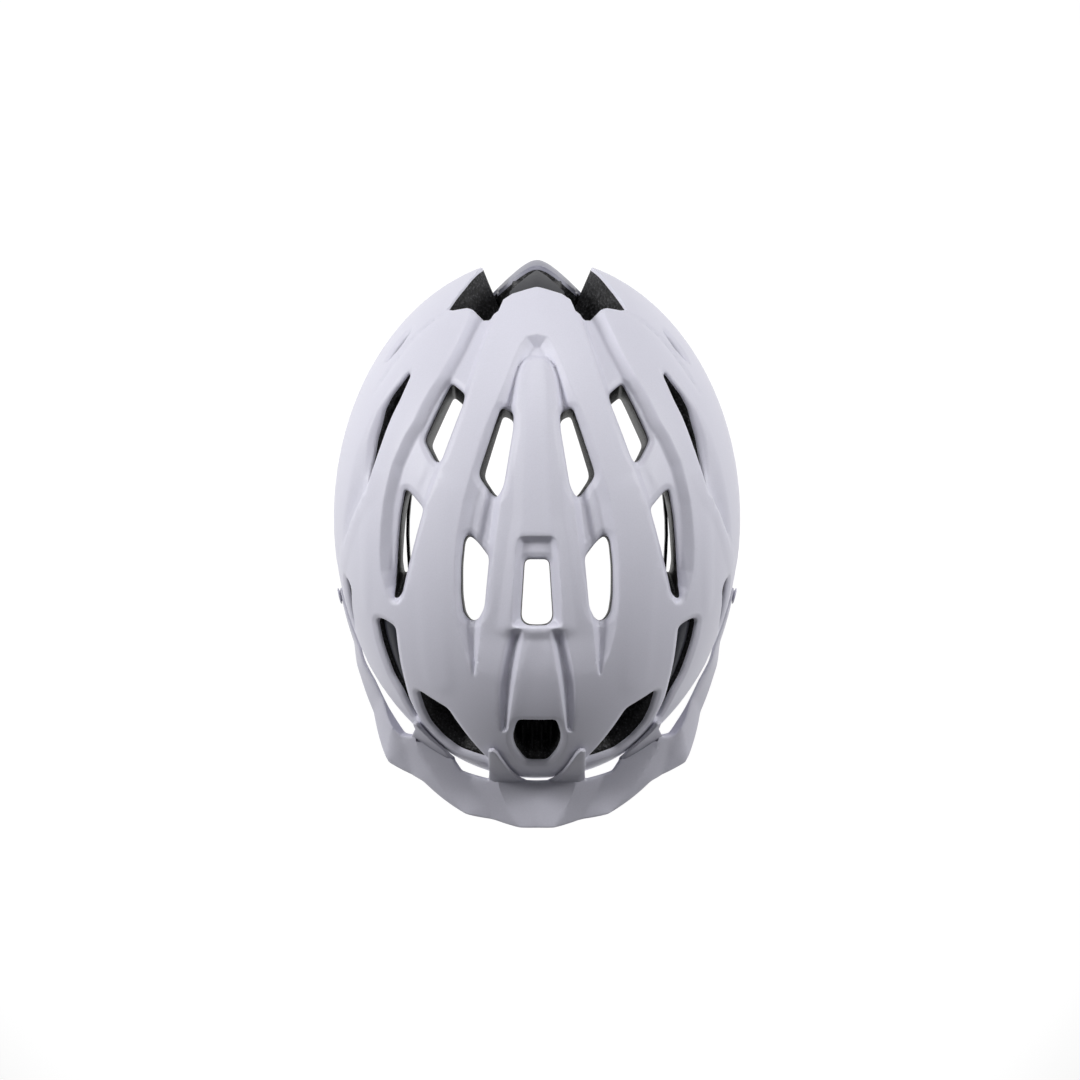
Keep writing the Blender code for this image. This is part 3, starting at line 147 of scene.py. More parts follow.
def at_depth(uv, depth):
    return dome(uv) + inward(uv) * np.asarray(depth, float).reshape(-1, 1)


def cavity_depth(uv):
    """Depth along the inward direction at which each line meets the head cavity."""
    start, step = dome(uv), inward(uv)
    near, far = np.zeros(len(start)), np.full(len(start), DEEPEST)
    for _ in range(HALVINGS):
        mid = 0.5 * (near + far)
        p = start + step * mid[:, None]
        hollow = ((p[:, 0] / CAVITY_HALF_WIDTH) ** 2
                  + ((p[:, 1] - CAVITY_Y) / CAVITY_HALF_LENGTH) ** 2
                  + (np.maximum(p[:, 2], 0) / CAVITY_RISE) ** 2) < 1
        far = np.where(hollow, mid, far)
        near = np.where(hollow, near, mid)
    return far


def plan(x, y):
    """Pattern point of the upper envelope seen straight down at x, y."""
    reach = min(math.hypot(x / HALF_WIDTH, y / HALF_LENGTH), 0.9999)
    down = math.atan2(reach, partner(reach))
    turn = math.atan2(y / HALF_LENGTH, x / HALF_WIDTH)
    return HALF_WIDTH * down * math.cos(turn), HALF_LENGTH * down * math.sin(turn)


def around(from_front, z):
    """Pattern point on the left side, so many degrees from the front, at height z."""
    h = (z - WIDEST_Z) / (CROWN_RISE if z > WIDEST_Z else LOWER_DROP)
    down = math.atan2(partner(h), h)
    a = math.radians(from_front)
    return -HALF_WIDTH * down * math.sin(a), -HALF_LENGTH * down * math.cos(a)


def degrees_off(uv, end):
    """Degrees round the crown from the front, where end is -1, or from the rear, where it is 1."""
    _, turn = spherical(uv)
    return np.degrees(np.arccos(np.clip(end * np.sin(turn), -1, 1)))


def height_on(line, from_front):
    """Height of a line of (degrees, height) knots, eased between the knots."""
    for (a0, z0), (a1, z1) in zip(line, line[1:]):
        if from_front <= a1:
            t = (from_front - a0) / (a1 - a0)
            return z0 + (z1 - z0) * t * t * (3 - 2 * t)
    return line[-1][1]


# ---------------------------------------------------------------- plane geometry

def mirrored(points):
    return [(-x, y) for x, y in reversed(points)]


def both_sides(loop):
    return [loop, mirrored(loop)]


def full_loop(left):
    """Closed outline from its left half, whose ends may lie on the centre line."""
    return left + [(-x, y) for x, y in reversed(left) if abs(x) > 1e-6]


def rounded(points, radius, steps=4):
    """Closed outline with each corner rounded over about radius of both its sides."""
    out = []
    for i, corner in enumerate(points):
        b = Vector(corner)
        a, c = Vector(points[i - 1]), Vector(points[(i + 1) % len(points)])
        start = b + (a - b) * min(radius / (a - b).length, 0.48)
        end = b + (c - b) * min(radius / (c - b).length, 0.48)
        for k in range(steps + 1):
            t = k / steps
            out.append(tuple(start * (1 - t) ** 2 + b * 2 * t * (1 - t) + end * t * t))
    return out


def spaced(points, pitch=ROW_PITCH, closed=True):
    """Outline with points at about even steps, its own corners kept."""
    out = []
    pairs = zip(points, points[1:] + points[:1]) if closed else zip(points, points[1:])
    for a, b in pairs:
        n = max(1, math.ceil(math.dist(a, b) / pitch - 0.25))
        out += [(a[0] + (b[0] - a[0]) * i / n, a[1] + (b[1] - a[1]) * i / n) for i in range(n)]
    if not closed:
        out.append(points[-1])
    return out


def clean(points, least=0.12):
    """Outline without repeated points."""
    out = []
    for p in points:
        if not out or math.dist(p, out[-1]) > least:
            out.append(tuple(p))
    while len(out) > 1 and math.dist(out[0], out[-1]) <= least:
        out.pop()
    return out


def area(loop):
    p = np.asarray(loop)
    q = np.roll(p, -1, axis=0)
    return 0.5 * float(np.sum(p[:, 0] * q[:, 1] - q[:, 0] * p[:, 1]))


def in_box(points, loop, reach):
    loop = np.asarray(loop)
    low, high = loop.min(axis=0) - reach, loop.max(axis=0) + reach
    return np.all((points > low) & (points < high), axis=1)


def inside(points, loop):
    points = np.asarray(points, float)
    found = np.zeros(len(points), bool)
    near = in_box(points, loop, 0.0)
    if not near.any():
        return found
    a = np.asarray(loop, float)
    b = np.roll(a, -1, axis=0)
    x, y = points[near][:, 0:1], points[near][:, 1:2]
    crosses = (a[:, 1] > y) != (b[:, 1] > y)
    with np.errstate(divide="ignore", invalid="ignore"):
        at = a[:, 0] + (y - a[:, 1]) * (b[:, 0] - a[:, 0]) / (b[:, 1] - a[:, 1])
    found[near] = (np.sum(crosses & (x < at), axis=1) % 2) == 1
    return found


def off_segment(points, start, end):
    """Vectors to points from the nearest points of a straight segment."""
    d = end - start
    t = unit(((points - start) @ d) / max(float(d @ d), TINY))
    return points - start - t[:, None] * d


def distance(points, line, reach, closed=True):
    """Distance to an outline, or reach where it is further off than that."""
    points, q = np.asarray(points, float), np.asarray(line, float)
    best = np.full(len(points), float(reach))
    near = in_box(points, q, reach)
    p = points[near]
    found = np.full(len(p), float(reach))
    a, b = (q, np.roll(q, -1, axis=0)) if closed else (q[:-1], q[1:])
    for start, end in zip(a, b):
        found = np.minimum(found, np.linalg.norm(off_segment(p, start, end), axis=1))
    best[near] = found
    return best


def depth_inside(points, loop, reach):
    """Distance in from the outline, up to reach, and 0 outside it."""
    return np.where(inside(points, loop), distance(points, loop, reach), 0.0)


def normals_of(loop):
    """Unit normals at the points of an outline, to its inside."""
    p = np.asarray(loop, float)
    along = np.roll(p, -1, axis=0) - np.roll(p, 1, axis=0)
    normal = np.stack([-along[:, 1], along[:, 0]], axis=1)
    normal /= np.maximum(np.linalg.norm(normal, axis=1, keepdims=True), 1e-9)
    return normal if area(loop) > 0 else -normal


def rows_beside(loop, offsets, pitch=ROW_PITCH):
    """Points in rows at given distances in from an outline, or out from it where negative."""
    base = spaced(loop, pitch)
    p, n = np.asarray(base), normals_of(base)
    rows = []
    for offset in offsets:
        row = p + n * offset
        rows.append(row[distance(row, loop, 2 * abs(offset) + 1) > 0.94 * abs(offset)])
    return np.concatenate(rows)


def inset(loop, by):
    """Outline moved inward by a small distance."""
    return [tuple(p) for p in np.asarray(loop) + normals_of(loop) * by]


def unit(t):
    return np.clip(t, 0, 1)


def eased(t):
    t = unit(t)
    return t * t * (3 - 2 * t)


def ramp(t, soft=0.14):
    """Straight slope from 0 to 1 with a short round at the top and the foot."""
    t = unit(t)
    slope = 1 / (1 - soft)
    low = slope * t * t / (2 * soft)
    high = 1 - slope * (1 - t) ** 2 / (2 * soft)
    return np.where(t < soft, low, np.where(t > 1 - soft, high, slope * (t - soft / 2)))


def rolled(distance_in, radius):
    """Drop of a quarter-round edge, so far in from the edge."""
    return radius * (1 - np.sqrt(unit(1 - (1 - unit(distance_in / radius)) ** 2)))


def in_plan(points, side=1):
    """Pattern points of the upper envelope from points in plan, or from their mirror images."""
    return [plan(side * x, y) for x, y in points]


def pattern(points, radius=3.0, depth=0.0, side=1):
    """Outline given in plan at some depth, as a rounded outline of the flat pattern."""
    target = [(side * x, y) for x, y in points]
    uv = np.array(in_plan(target))
    for _ in range(60 if depth else 0):
        uv += 0.7 * (target - at_depth(uv, depth)[:, :2])
    return rounded([tuple(p) for p in uv], radius)


# ---------------------------------------------------------------- outlines, left side, in plan

# Vents that pass right through: outline at VENT_DEPTH, point that the foam draws in to, and how
# much narrower and shorter the foam's own opening is.
VENT_DEPTH = 7.0
THROUGH_VENTS = [
    ([(-18.3, 56.3), (-11.8, 53.3), (-12.2, 44.2), (-16.9, 15.7), (-20.1, 9.8), (-22.8, 11.0),
      (-29.2, 19.7), (-29.6, 22.8)], (-14.0, 14.0), 0.84, 0.93),
    ([(-44.2, 69.4), (-36.9, 63.2), (-37.7, 58.0), (-48.3, 30.1), (-50.3, 27.8), (-52.7, 29.0),
      (-57.6, 38.2), (-57.7, 40.7)], (-46.0, 30.0), 0.84, 0.88),
    ([(-35.1, -8.7), (-31.1, -11.9), (-24.4, -20.5), (-26.8, -46.6), (-30.1, -53.0),
      (-34.0, -54.0), (-37.6, -49.9), (-38.9, -40.3), (-38.8, -24.5), (-37.5, -11.9)],
     (-28.0, -54.0), 0.95, 0.98),
    ([(-68.5, 14.0), (-66.2, 13.5), (-58.5, 4.4), (-58.7, 1.6), (-70.4, -41.6),
      (-72.5, -41.7), (-73.5, -32.7), (-72.7, -20.6), (-71.0, -0.7)], (-62.0, 10.0), 0.9, 0.76),
]
CENTRE_VENT = full_loop([(-6.5, -21.7), (-8.6, -52.9), (-5.5, -56.0)])
# Vents that end in the foam: outline, depth of the outline, depth of the floor.
LONG_SLIT = [(-66.0, 74.6), (-69.8, 69.5), (-74.8, 63.3), (-79.0, 56.4), (-84.7, 41.4),
             (-88.3, 25.2), (-89.6, 12.7), (-87.7, 13.5), (-85.6, 21.9), (-82.8, 33.1),
             (-79.5, 44.4), (-75.8, 53.0), (-71.0, 60.3), (-64.9, 73.8)]
REAR_SLIT = [(-65.6, 98.1), (-70.8, 92.9), (-75.0, 87.3), (-78.3, 81.5), (-76.3, 83.7),
             (-71.3, 89.2)]
FRONT_SIDE_SLIT = [(-99.7, -31.7), (-100.3, -34.0), (-99.4, -43.0), (-97.3, -54.7),
                   (-95.5, -59.8), (-96.4, -52.0), (-97.2, -45.4), (-97.3, -36.3)]
SIDE_FRONT_VENT = [(-83.2, -54.3), (-81.7, -52.6), (-78.4, -53.8), (-73.4, -56.8),
                   (-72.5, -66.2), (-71.4, -74.7), (-69.5, -83.9), (-67.1, -94.1),
                   (-62.2, -105.1), (-63.5, -105.9), (-70.6, -91.4), (-75.4, -82.9),
                   (-78.7, -73.6), (-81.4, -64.5)]
FRONT_VENT = [(-61.8, -91.5), (-60.7, -90.7), (-46.3, -99.5), (-24.9, -127.6),
              (-33.0, -125.5), (-40.8, -122.9), (-49.2, -116.4), (-56.0, -108.3),
              (-59.3, -101.0)]
FRONT_CENTRE_VENT = full_loop([(-9.6, -106.3), (-11.3, -109.5), (-12.7, -114.7), (-12.6, -118.5),
                               (-11.1, -123.0), (-7.0, -128.9), (-4.9, -130.6)])
FRONT_CENTRE_DEPTH = 17.0
VENT_RIB_PITCH = 5.4
BLIND_VENTS = [(LONG_SLIT, 4.0, 15.0), (REAR_SLIT, 2.4, 9.0), (FRONT_SIDE_SLIT, 2.4, 8.0),
               (SIDE_FRONT_VENT, 2.4, 14.0), (FRONT_VENT, 2.4, 17.0)]

# Channels sunk between the ribs: outline, depth, width of the sloping wall, and the outer
# crest with the width of its gentler slope. The first outline is the left half of a channel
# that runs round the nose of the spine.
SPINE_CREST = [(0, 95.0), (-5.5, 94.0), (-9.0, 89.5), (-12.2, 82.4), (-17.2, 69.3),
               (-21.0, 60.0), (-27.0, 46.4), (-33.4, 25.9), (-38.5, 8.0), (-41.6, -8.7),
               (-42.7, -22.0), (-42.7, -40.2), (-41.5, -56.5), (-38.1, -70.2), (-35.7, -75.7),
               (-33.3, -84.0)]
SPINE_CHANNEL = SPINE_CREST + [
    (-31.0, -79.6), (-28.2, -52.0), (-21.9, -20.2), (-18.4, 6.9), (-15.0, 24.0),
    (-11.5, 49.4), (-9.0, 72.0), (-6.0, 80.0), (0, 81.5)]
SIDE_CREST = [(-35.5, 106.2), (-39.2, 97.9), (-43.2, 88.7), (-47.2, 81.0), (-51.3, 73.3),
              (-56.0, 66.5), (-60.5, 58.2), (-64.2, 50.0), (-69.5, 41.5), (-75.6, 28.0),
              (-78.5, 16.8), (-80.5, 7.3), (-81.8, -4.7), (-82.4, -16.6), (-81.9, -28.6),
              (-79.5, -38.0), (-75.5, -43.5)]
SIDE_CHANNEL = [(-34.5, 109.5)] + SIDE_CREST + [
    (-72.0, -46.0), (-68.8, -41.5), (-64.4, -25.4), (-57.5, 2.9), (-48.2, 28.0),
    (-35.0, 63.1), (-25.4, 95.3), (-20.6, 111.0)]
CHANNEL_DEPTH = 5.0
CHANNEL_WALL = 4.0
CREST_SLOPE = 7.5
FRONT_GROOVE = [(-14.1, -57.3), (-7.0, -57.3), (-6.3, -60.4), (-8.7, -73.4), (-11.2, -86.6),
                (-12.9, -97.9), (-14.0, -105.0), (-15.1, -112.3), (-19.3, -113.1),
                (-20.2, -100.8), (-20.4, -88.1), (-19.0, -76.9), (-16.9, -66.6)]
GROOVE_DEPTH = 4.6
GROOVE_WALL = 5.0
CENTRE_RECESS = full_loop([(-9.5, -9.5), (-11.5, -16.0), (-13.6, -57.0)])
RECESS_DEPTH = 4.0
RECESS_WALL = 4.0
SIDE_SCOOP = [(-61.0, 82.0), (-72.0, 72.0), (-86.0, 55.0), (-95.0, 34.0), (-101.0, 8.0),
              (-104.0, -22.0), (-99.0, -10.0), (-90.0, 8.0), (-86.0, 22.0), (-79.0, 38.0),
              (-70.5, 60.0)]
# Flat top of the spine, and the middle line of the channels on both sides of it.
SPINE_TOP = [(0, 79.0), (-2.6, 77.4), (-4.3, 73.0), (-4.9, 60.0), (-5.3, 42.0), (-6.2, 22.6),
             (-7.2, 0.0), (-9.4, -12.0), (-15.0, -57.0), (0, -58.0)]
SPINE_FIELD = [(0, 89.0), (-7.5, 86.0), (-13.0, 70.0), (-20.5, 42.0), (-25.0, 18.0),
               (-30.5, -9.0), (-33.0, -30.0), (-33.0, -60.0), (-32.5, -79.0), (0, -90.0)]
SPINE_DROP = 2.0
SPINE_SLOPE = 6.0
# Creases where two faces of a rib meet, and fine lines where the height is negative: line,
# height, reach to both sides.
CREASES = [
    ([(-50.0, 12.0), (-53.9, -3.8), (-54.1, -47.0), (-51.5, -84.8)], 1.7, 13.0),
    ([(-84.0, 22.0), (-89.5, 11.4), (-96.9, -0.5), (-101.7, -16.7), (-103.7, -25.7)], 1.6, 9.0),
    ([(-89.0, -0.6), (-89.6, -24.7), (-89.7, -49.0)], 0.9, 8.0),
    ([(-3.6, -59.5), (-8.2, -84.1), (-12.5, -104.5)], 0.8, 7.0),
    ([(-59.7, 25.5), (-63.1, 14.7)], 0.8, 5.0),
    ([(0.0, 118.5), (0.0, 106.0)], 0.9, 11.0),
    ([(-49.0, 106.5), (-55.7, 103.0), (-65.5, 94.0), (-77.9, 78.1), (-85.9, 65.8)], -0.7, 3.0),
]

# Rear edge of the crown, and the edge of each side wing behind it.
CROWN_EDGE = [(0, 120.8), (-1.6, 120.6), (-13.1, 117.2), (-17.8, 113.9), (-20.3, 107.6),
              (-23.4, 105.4), (-29.2, 105.8), (-32.9, 108.7), (-36.7, 109.8), (-44.0, 108.8),
              (-47.3, 109.4)]
WING_EDGE = [(-29.5, 134.0), (-38.5, 122.8), (-47.3, 109.4)]
# Foot of the wing's edge, as (degrees from the front, height), like the tail band's top edge.
WING_ROOT = (164.2, 38.0)
TAIL_BAND_TOP = [(180, 50.0), (176, 49.2), (171, 46.5), (165.9, 42.5), (165.8, 30.6)]

SEAM_STEPS = [3 * i for i in range(54)] + [162.2, 164.4]


def seam_points(offset):
    return [around(a, height_on(SEAM_LINE, a) + offset) for a in SEAM_STEPS]


CROWN_OUTLINE = clean(full_loop(seam_points(SEAM) + [around(*WING_ROOT)] + in_plan(WING_EDGE)
                                + in_plan(reversed(CROWN_EDGE))))
LOWER_TOP = clean(full_loop(
    seam_points(0)[:-1] + [around(a, z) for a, z in reversed(TAIL_BAND_TOP)]))
RIM_LOOP = clean(full_loop([around(a, height_on(RIM, a)) for a in range(0, 181, 2)]))

THROUGH = [(pattern(vent, 3.0, VENT_DEPTH, side), (side * anchor[0], anchor[1]), narrow, short)
           for vent, anchor, narrow, short in THROUGH_VENTS for side in (1, -1)]
THROUGH.append((pattern(CENTRE_VENT), (0.0, -54.0), 0.95, 0.99))
BLIND = [(loop, floor) for vent, at, floor in BLIND_VENTS
         for loop in both_sides(pattern(vent, 3.0, at))]
RIBBED_VENT = pattern(FRONT_CENTRE_VENT, 2.0)
BLIND.append((RIBBED_VENT, FRONT_CENTRE_DEPTH))
SPINE_CRESTS = in_plan(reversed(SPINE_CREST), -1) + in_plan(SPINE_CREST[1:])
SUNK = [(rounded(full_loop(in_plan(SPINE_CHANNEL)), 5.0), CHANNEL_DEPTH, CHANNEL_WALL,
         [SPINE_CRESTS])]
for side in (1, -1):
    SUNK += [(pattern(SIDE_CHANNEL, side=side), CHANNEL_DEPTH, CHANNEL_WALL,
              [in_plan(SIDE_CREST, side)]),
             (pattern(FRONT_GROOVE, side=side), GROOVE_DEPTH, GROOVE_WALL, [])]
SUNK.append((pattern(CENTRE_RECESS), RECESS_DEPTH, RECESS_WALL, []))
SCOOPS = both_sides(pattern(SIDE_SCOOP, 9.0))
OPENINGS = [row[0] for row in THROUGH] + [row[0] for row in BLIND]
SPINE = full_loop(in_plan(SPINE_TOP))
FIELD = full_loop(in_plan(SPINE_FIELD))
CREASE_LINES = [(np.array(in_plan(line, side)), height, reach) for line, height, reach in CREASES
                for side in ((1, -1) if line[0][0] else (1,))]


# ---------------------------------------------------------------- depth of each skin

LIP_RADIUS = 1.5
LIP_ROLL = 0.8
CHAMFER_WIDTH = 3.6
CHAMFER_DROP = 1.2
EDGE_RADIUS = 1.0
EDGE_ROLL = 0.7
SCOOP_DEPTH = 4.0
SCOOP_WALL = 11.0
# Where the spine's flat top fades out, and the length of each fade.
SPINE_FRONT, FRONT_FADE = -84.0, 26.0
SPINE_REAR, REAR_FADE = 86.0, 12.0
FIELD_EDGE = 3.0
# Height of a crease at its ends, as a share, and the length over which it grows.
CREASE_LEAST, CREASE_GROWTH = 0.35, 14.0
PROUD = 0.4
# Flat under each visor wing, in degrees from the front and up to a height.
SEAT_FROM, SEAT_RAMP_IN = 56.0, 6.0
SEAT_TO, SEAT_RAMP_OUT = 81.0, 5.0
SEAT_TOP, SEAT_RAMP_TOP = 42.0, 8.0
SEAT_DEPTH = 1.7


def relief(uv):
    """How far the white shell is sunk below the envelope, its vent lips left out."""
    uv = np.atleast_2d(uv)
    depth = np.zeros(len(uv))
    for loop, deep, wall, crests in SUNK:
        share = depth_inside(uv, loop, wall) / wall
        for crest in crests:
            share = np.minimum(share, distance(uv, crest, CREST_SLOPE, closed=False) / CREST_SLOPE)
        depth = np.maximum(depth, deep * ramp(share))
    for loop in SCOOPS:
        depth = np.maximum(depth, SCOOP_DEPTH * eased(depth_inside(uv, loop, SCOOP_WALL)
                                                      / SCOOP_WALL))
    off_top = np.where(inside(uv, SPINE), 0.0, distance(uv, SPINE, SPINE_SLOPE)) / SPINE_SLOPE
    _, y, z = dome(uv).T
    along = eased((y - SPINE_FRONT) / FRONT_FADE) * eased((SPINE_REAR - y) / REAR_FADE)
    depth += SPINE_DROP * along * off_top * unit(depth_inside(uv, FIELD, FIELD_EDGE) / FIELD_EDGE)
    for crease, height, reach in CREASE_LINES:
        near = 1 - distance(uv, crease, reach, closed=False) / reach
        ends = np.minimum(np.linalg.norm(uv - crease[0], axis=1),
                          np.linalg.norm(uv - crease[-1], axis=1))
        depth -= height * near ** 2 * unit(CREASE_LEAST + ends / CREASE_GROWTH)
    turn = degrees_off(uv, -1)
    seat = (eased((turn - SEAT_FROM) / SEAT_RAMP_IN) * eased((SEAT_TO - turn) / SEAT_RAMP_OUT)
            * eased((SEAT_TOP - z) / SEAT_RAMP_TOP))
    return np.maximum(depth, -PROUD) + SEAT_DEPTH * seat


def lips(uv):
    """Extra depth at the chamfer and the rolled lip round each opening and along the edges."""
    depth = np.zeros(len(uv))
    for loop in OPENINGS:
        off = distance(uv, loop, CHAMFER_WIDTH)
        depth = np.maximum(depth, CHAMFER_DROP * (1 - off / CHAMFER_WIDTH)
                           + rolled(off, LIP_RADIUS) * LIP_ROLL)
    edge = distance(uv, CROWN_OUTLINE, EDGE_RADIUS)
    return np.maximum(depth, EDGE_ROLL * rolled(edge, EDGE_RADIUS))


def white_skin(uv):
    return at_depth(uv, relief(uv) + lips(uv))


# The tail band's V in plan: its apex, how fast its sides fall away, the rounding of the apex
# and the most that the envelope is drawn in.
TAIL_APEX = 140.2
TAIL_SPREAD = 0.80
APEX_ROUND = 6.0
PINCH_MOST = 18.0
# Its lean above and below the middle: start height, share, and the height that it grows over.
LEANS = [(25.0, 1, 0.11, 30.0), (10.0, -1, 0.10, 40.0)]
# Degrees from the rear at which the pinch and the lean end, and how far they fade.
PINCH_END, PINCH_FADE = 52.0, 34.0
LEAN_END, LEAN_FADE = 60.0, 30.0


def keel(uv):
    """How far the grey tail band is pinched in towards its apex."""
    uv = np.atleast_2d(uv)
    x, _, z = dome(uv).T
    aft = degrees_off(uv, 1)
    from_line = TAIL_APEX - TAIL_SPREAD * (np.hypot(x, APEX_ROUND) - APEX_ROUND)
    pinch = np.clip(HALF_LENGTH * np.sqrt(unit(1 - (x / HALF_WIDTH) ** 2)) - from_line,
                    0, PINCH_MOST)
    lean = sum(share * np.clip(way * (z - start), 0, most) for start, way, share, most in LEANS)
    return (pinch * eased((PINCH_END - aft) / PINCH_FADE)
            + lean * unit((LEAN_END - aft) / LEAN_FADE))


# The band's thin second line, near its top edge: a rebate and a fine groove at its foot.
REBATE_DEPTH, REBATE_WIDTH, REBATE_WALL = 0.9, 1.9, 0.3
FINE_GROOVE_DEPTH, FINE_GROOVE_AT, FINE_GROOVE_WIDTH = 0.8, 2.1, 0.35
REBATE_END, REBATE_FADE = 24.0, 6.0
BAND_EDGE_RADIUS, BAND_EDGE_ROLL = 0.9, 0.6
RIM_RADIUS = 2.0


def grey_skin(uv):
    """The lower shell, with a rebate along its top edge and a rolled bottom edge."""
    edge = distance(uv, LOWER_TOP, 6.0)
    rebate = REBATE_DEPTH * (1 - unit((edge - REBATE_WIDTH) / REBATE_WALL))
    rebate += FINE_GROOVE_DEPTH * np.exp(-((edge - FINE_GROOVE_AT) / FINE_GROOVE_WIDTH) ** 2)
    at_back = eased((REBATE_END - degrees_off(uv, 1)) / REBATE_FADE)
    return at_depth(uv, keel(uv) + rebate * at_back
                    + BAND_EDGE_ROLL * rolled(edge, BAND_EDGE_RADIUS)
                    + rolled(distance(uv, RIM_LOOP, RIM_RADIUS), RIM_RADIUS))


# The exhaust between crown and tail band: depth of its middle, how much deeper its flanks are,
# and where the step between them lies.
EXHAUST_DEPTH = 10.6
FLANK_DEPTH = 13.4
FLANK_FROM, FLANK_STEP = 15.0, 3.0
VENT_WALL = 1.2
UNDERCUT, UNDERCUT_WIDTH = 2.4, 3.0
# Ribs in the front part of the centre front vent, and the deeper slot behind them.
RIB_DEPTH = 9.0
RIB_POWER = 6
SLOT_EDGE_Y = -112.5
ON_EDGE = 1e-4


def under_skin(uv):
    """Depth of the foam's outer face, under the shells and in the exhaust between them."""
    base = SHELL_THICKNESS + FOAM_GAP
    upper, lower = inside(uv, CROWN_OUTLINE), ~inside(uv, LOWER_TOP)
    to_upper, to_lower = distance(uv, CROWN_OUTLINE, 40.0), distance(uv, LOWER_TOP, 40.0)
    share = np.minimum(1.0, 2.0 * to_upper / np.maximum(to_upper + to_lower, 1e-9))
    sunk, pinched = relief(uv), keel(uv)
    x, y, _ = dome(uv).T
    between = sunk * (1 - share) + pinched * share + base
    floor = EXHAUST_DEPTH + FLANK_DEPTH * eased((np.abs(x) - FLANK_FROM) / FLANK_STEP)
    between += (floor - between) * unit(np.minimum(to_upper, to_lower) / VENT_WALL)
    depth = np.where(upper | (to_upper < ON_EDGE), sunk + base, between)
    depth = np.where((lower & (to_upper >= ON_EDGE)) | (to_lower < ON_EDGE), pinched + base, depth)
    lip = np.zeros(len(uv))
    for loop in OPENINGS:
        lip = np.maximum(lip, UNDERCUT * (1 - distance(uv, loop, UNDERCUT_WIDTH) / UNDERCUT_WIDTH))
    depth += lip
    for loop, deep in BLIND:
        depth += (deep - base - UNDERCUT) * unit(depth_inside(uv, loop, VENT_WALL) / VENT_WALL)
    within = unit(depth_inside(uv, RIBBED_VENT, 2 * VENT_WALL) / VENT_WALL - 1.0)
    ribs = np.abs(np.sin(np.pi * x / VENT_RIB_PITCH)) ** RIB_POWER
    slot = eased(y - SLOT_EDGE_Y)
    return depth + within * RIB_DEPTH * np.where(slot > 0, slot, -ribs)


# Air channels inside the foam: depth, half their length and its fade, lowest height and its
# fade, half width of each, and the curved line of the side channels.
AIR_DEPTH = 6.0
AIR_MIDDLE_Y, AIR_HALF_LENGTH, AIR_FADE = -8.0, 95.0, 30.0
AIR_LOWEST, AIR_RISE = 45.0, 30.0
AIR_MIDDLE_HALF, AIR_SIDE_HALF = 11.0, 10.0
AIR_MIDDLE_REAR, AIR_MIDDLE_FADE = -12.0, 20.0
AIR_SIDE_X, AIR_SIDE_CURVE, AIR_SIDE_Y = 37.0, 0.0016, -10.0


def foam_grooves(uv):
    """Air channels moulded into the inside of the foam, front to rear."""
    x, y, z = dome(uv).T
    x = np.abs(x)
    along = (eased((AIR_HALF_LENGTH - np.abs(y - AIR_MIDDLE_Y)) / AIR_FADE)
             * eased((z - AIR_LOWEST) / AIR_RISE))
    middle = eased(1 - x / AIR_MIDDLE_HALF) * eased((AIR_MIDDLE_REAR - y) / AIR_MIDDLE_FADE)
    line = AIR_SIDE_X - AIR_SIDE_CURVE * (y - AIR_SIDE_Y) ** 2
    flank = eased(1 - np.abs(x - line) / AIR_SIDE_HALF)
    return AIR_DEPTH * along * np.maximum(middle, flank)


def cavity_point(uv):
    return at_depth(uv, cavity_depth(uv))


SHIFT_STEPS = 40
DRAW_REACH = 18.0


def vent_shift(loop, anchor, narrow, short):
    """How far the pattern points of a vent's edge move, so that its walls run nearly straight
    down in plan and draw in a little towards the anchor."""
    edge = np.asarray(spaced(loop))
    target = anchor + (at_depth(edge, VENT_DEPTH)[:, :2] - anchor) * (narrow, short)
    moved = edge.copy()
    for _ in range(SHIFT_STEPS):
        moved += 0.9 * (target - cavity_point(moved)[:, :2])
    return edge, moved - edge


def drawn_in(uv):
    """Pattern points moved so that each through vent opens under itself at the head cavity."""
    total, weight = np.zeros_like(uv), np.full(len(uv), 1e-9)
    for loop, anchor, narrow, short in THROUGH:
        edge, shift = vent_shift(loop, anchor, narrow, short)
        reach = max(DRAW_REACH, 1.5 * float(np.linalg.norm(shift, axis=1).max()))
        near = in_box(uv, edge, reach)
        gap = np.linalg.norm(uv[near][:, None, :] - edge[None, :, :], axis=2)
        nearest, least = gap.argmin(axis=1), gap.min(axis=1)
        share = unit(1 - least / reach)
        pull = share / (least + 0.05) ** 2
        total[near] += shift[nearest] * (share * pull)[:, None]
        weight[near] += pull
    return uv + total / weight[:, None]


# ---------------------------------------------------------------- meshing

def triangulated(loops, free):
    """Constrained triangulation: counter-clockwise triangles over all the loops."""
    points, edges = [], []
    for loop in loops:
        first = len(points)
        points += [Vector(p) for p in loop]
        edges += [(first + i, first + (i + 1) % len(loop)) for i in range(len(loop))]
    points += [Vector(p) for p in free]
    verts, _, faces, _, _, _ = delaunay_2d_cdt(points, edges, [], 0, 1e-5)
    uv = np.array([tuple(v) for v in verts])
    tris = np.array([f for f in faces if len(f) == 3])
    a, b, c = uv[tris[:, 0]], uv[tris[:, 1]], uv[tris[:, 2]]
    turn = (b[:, 0] - a[:, 0]) * (c[:, 1] - a[:, 1]) - (b[:, 1] - a[:, 1]) * (c[:, 0] - a[:, 0])
    tris[turn < 0] = tris[turn < 0][:, ::-1]
    return uv, tris[np.abs(turn) > 1e-7]


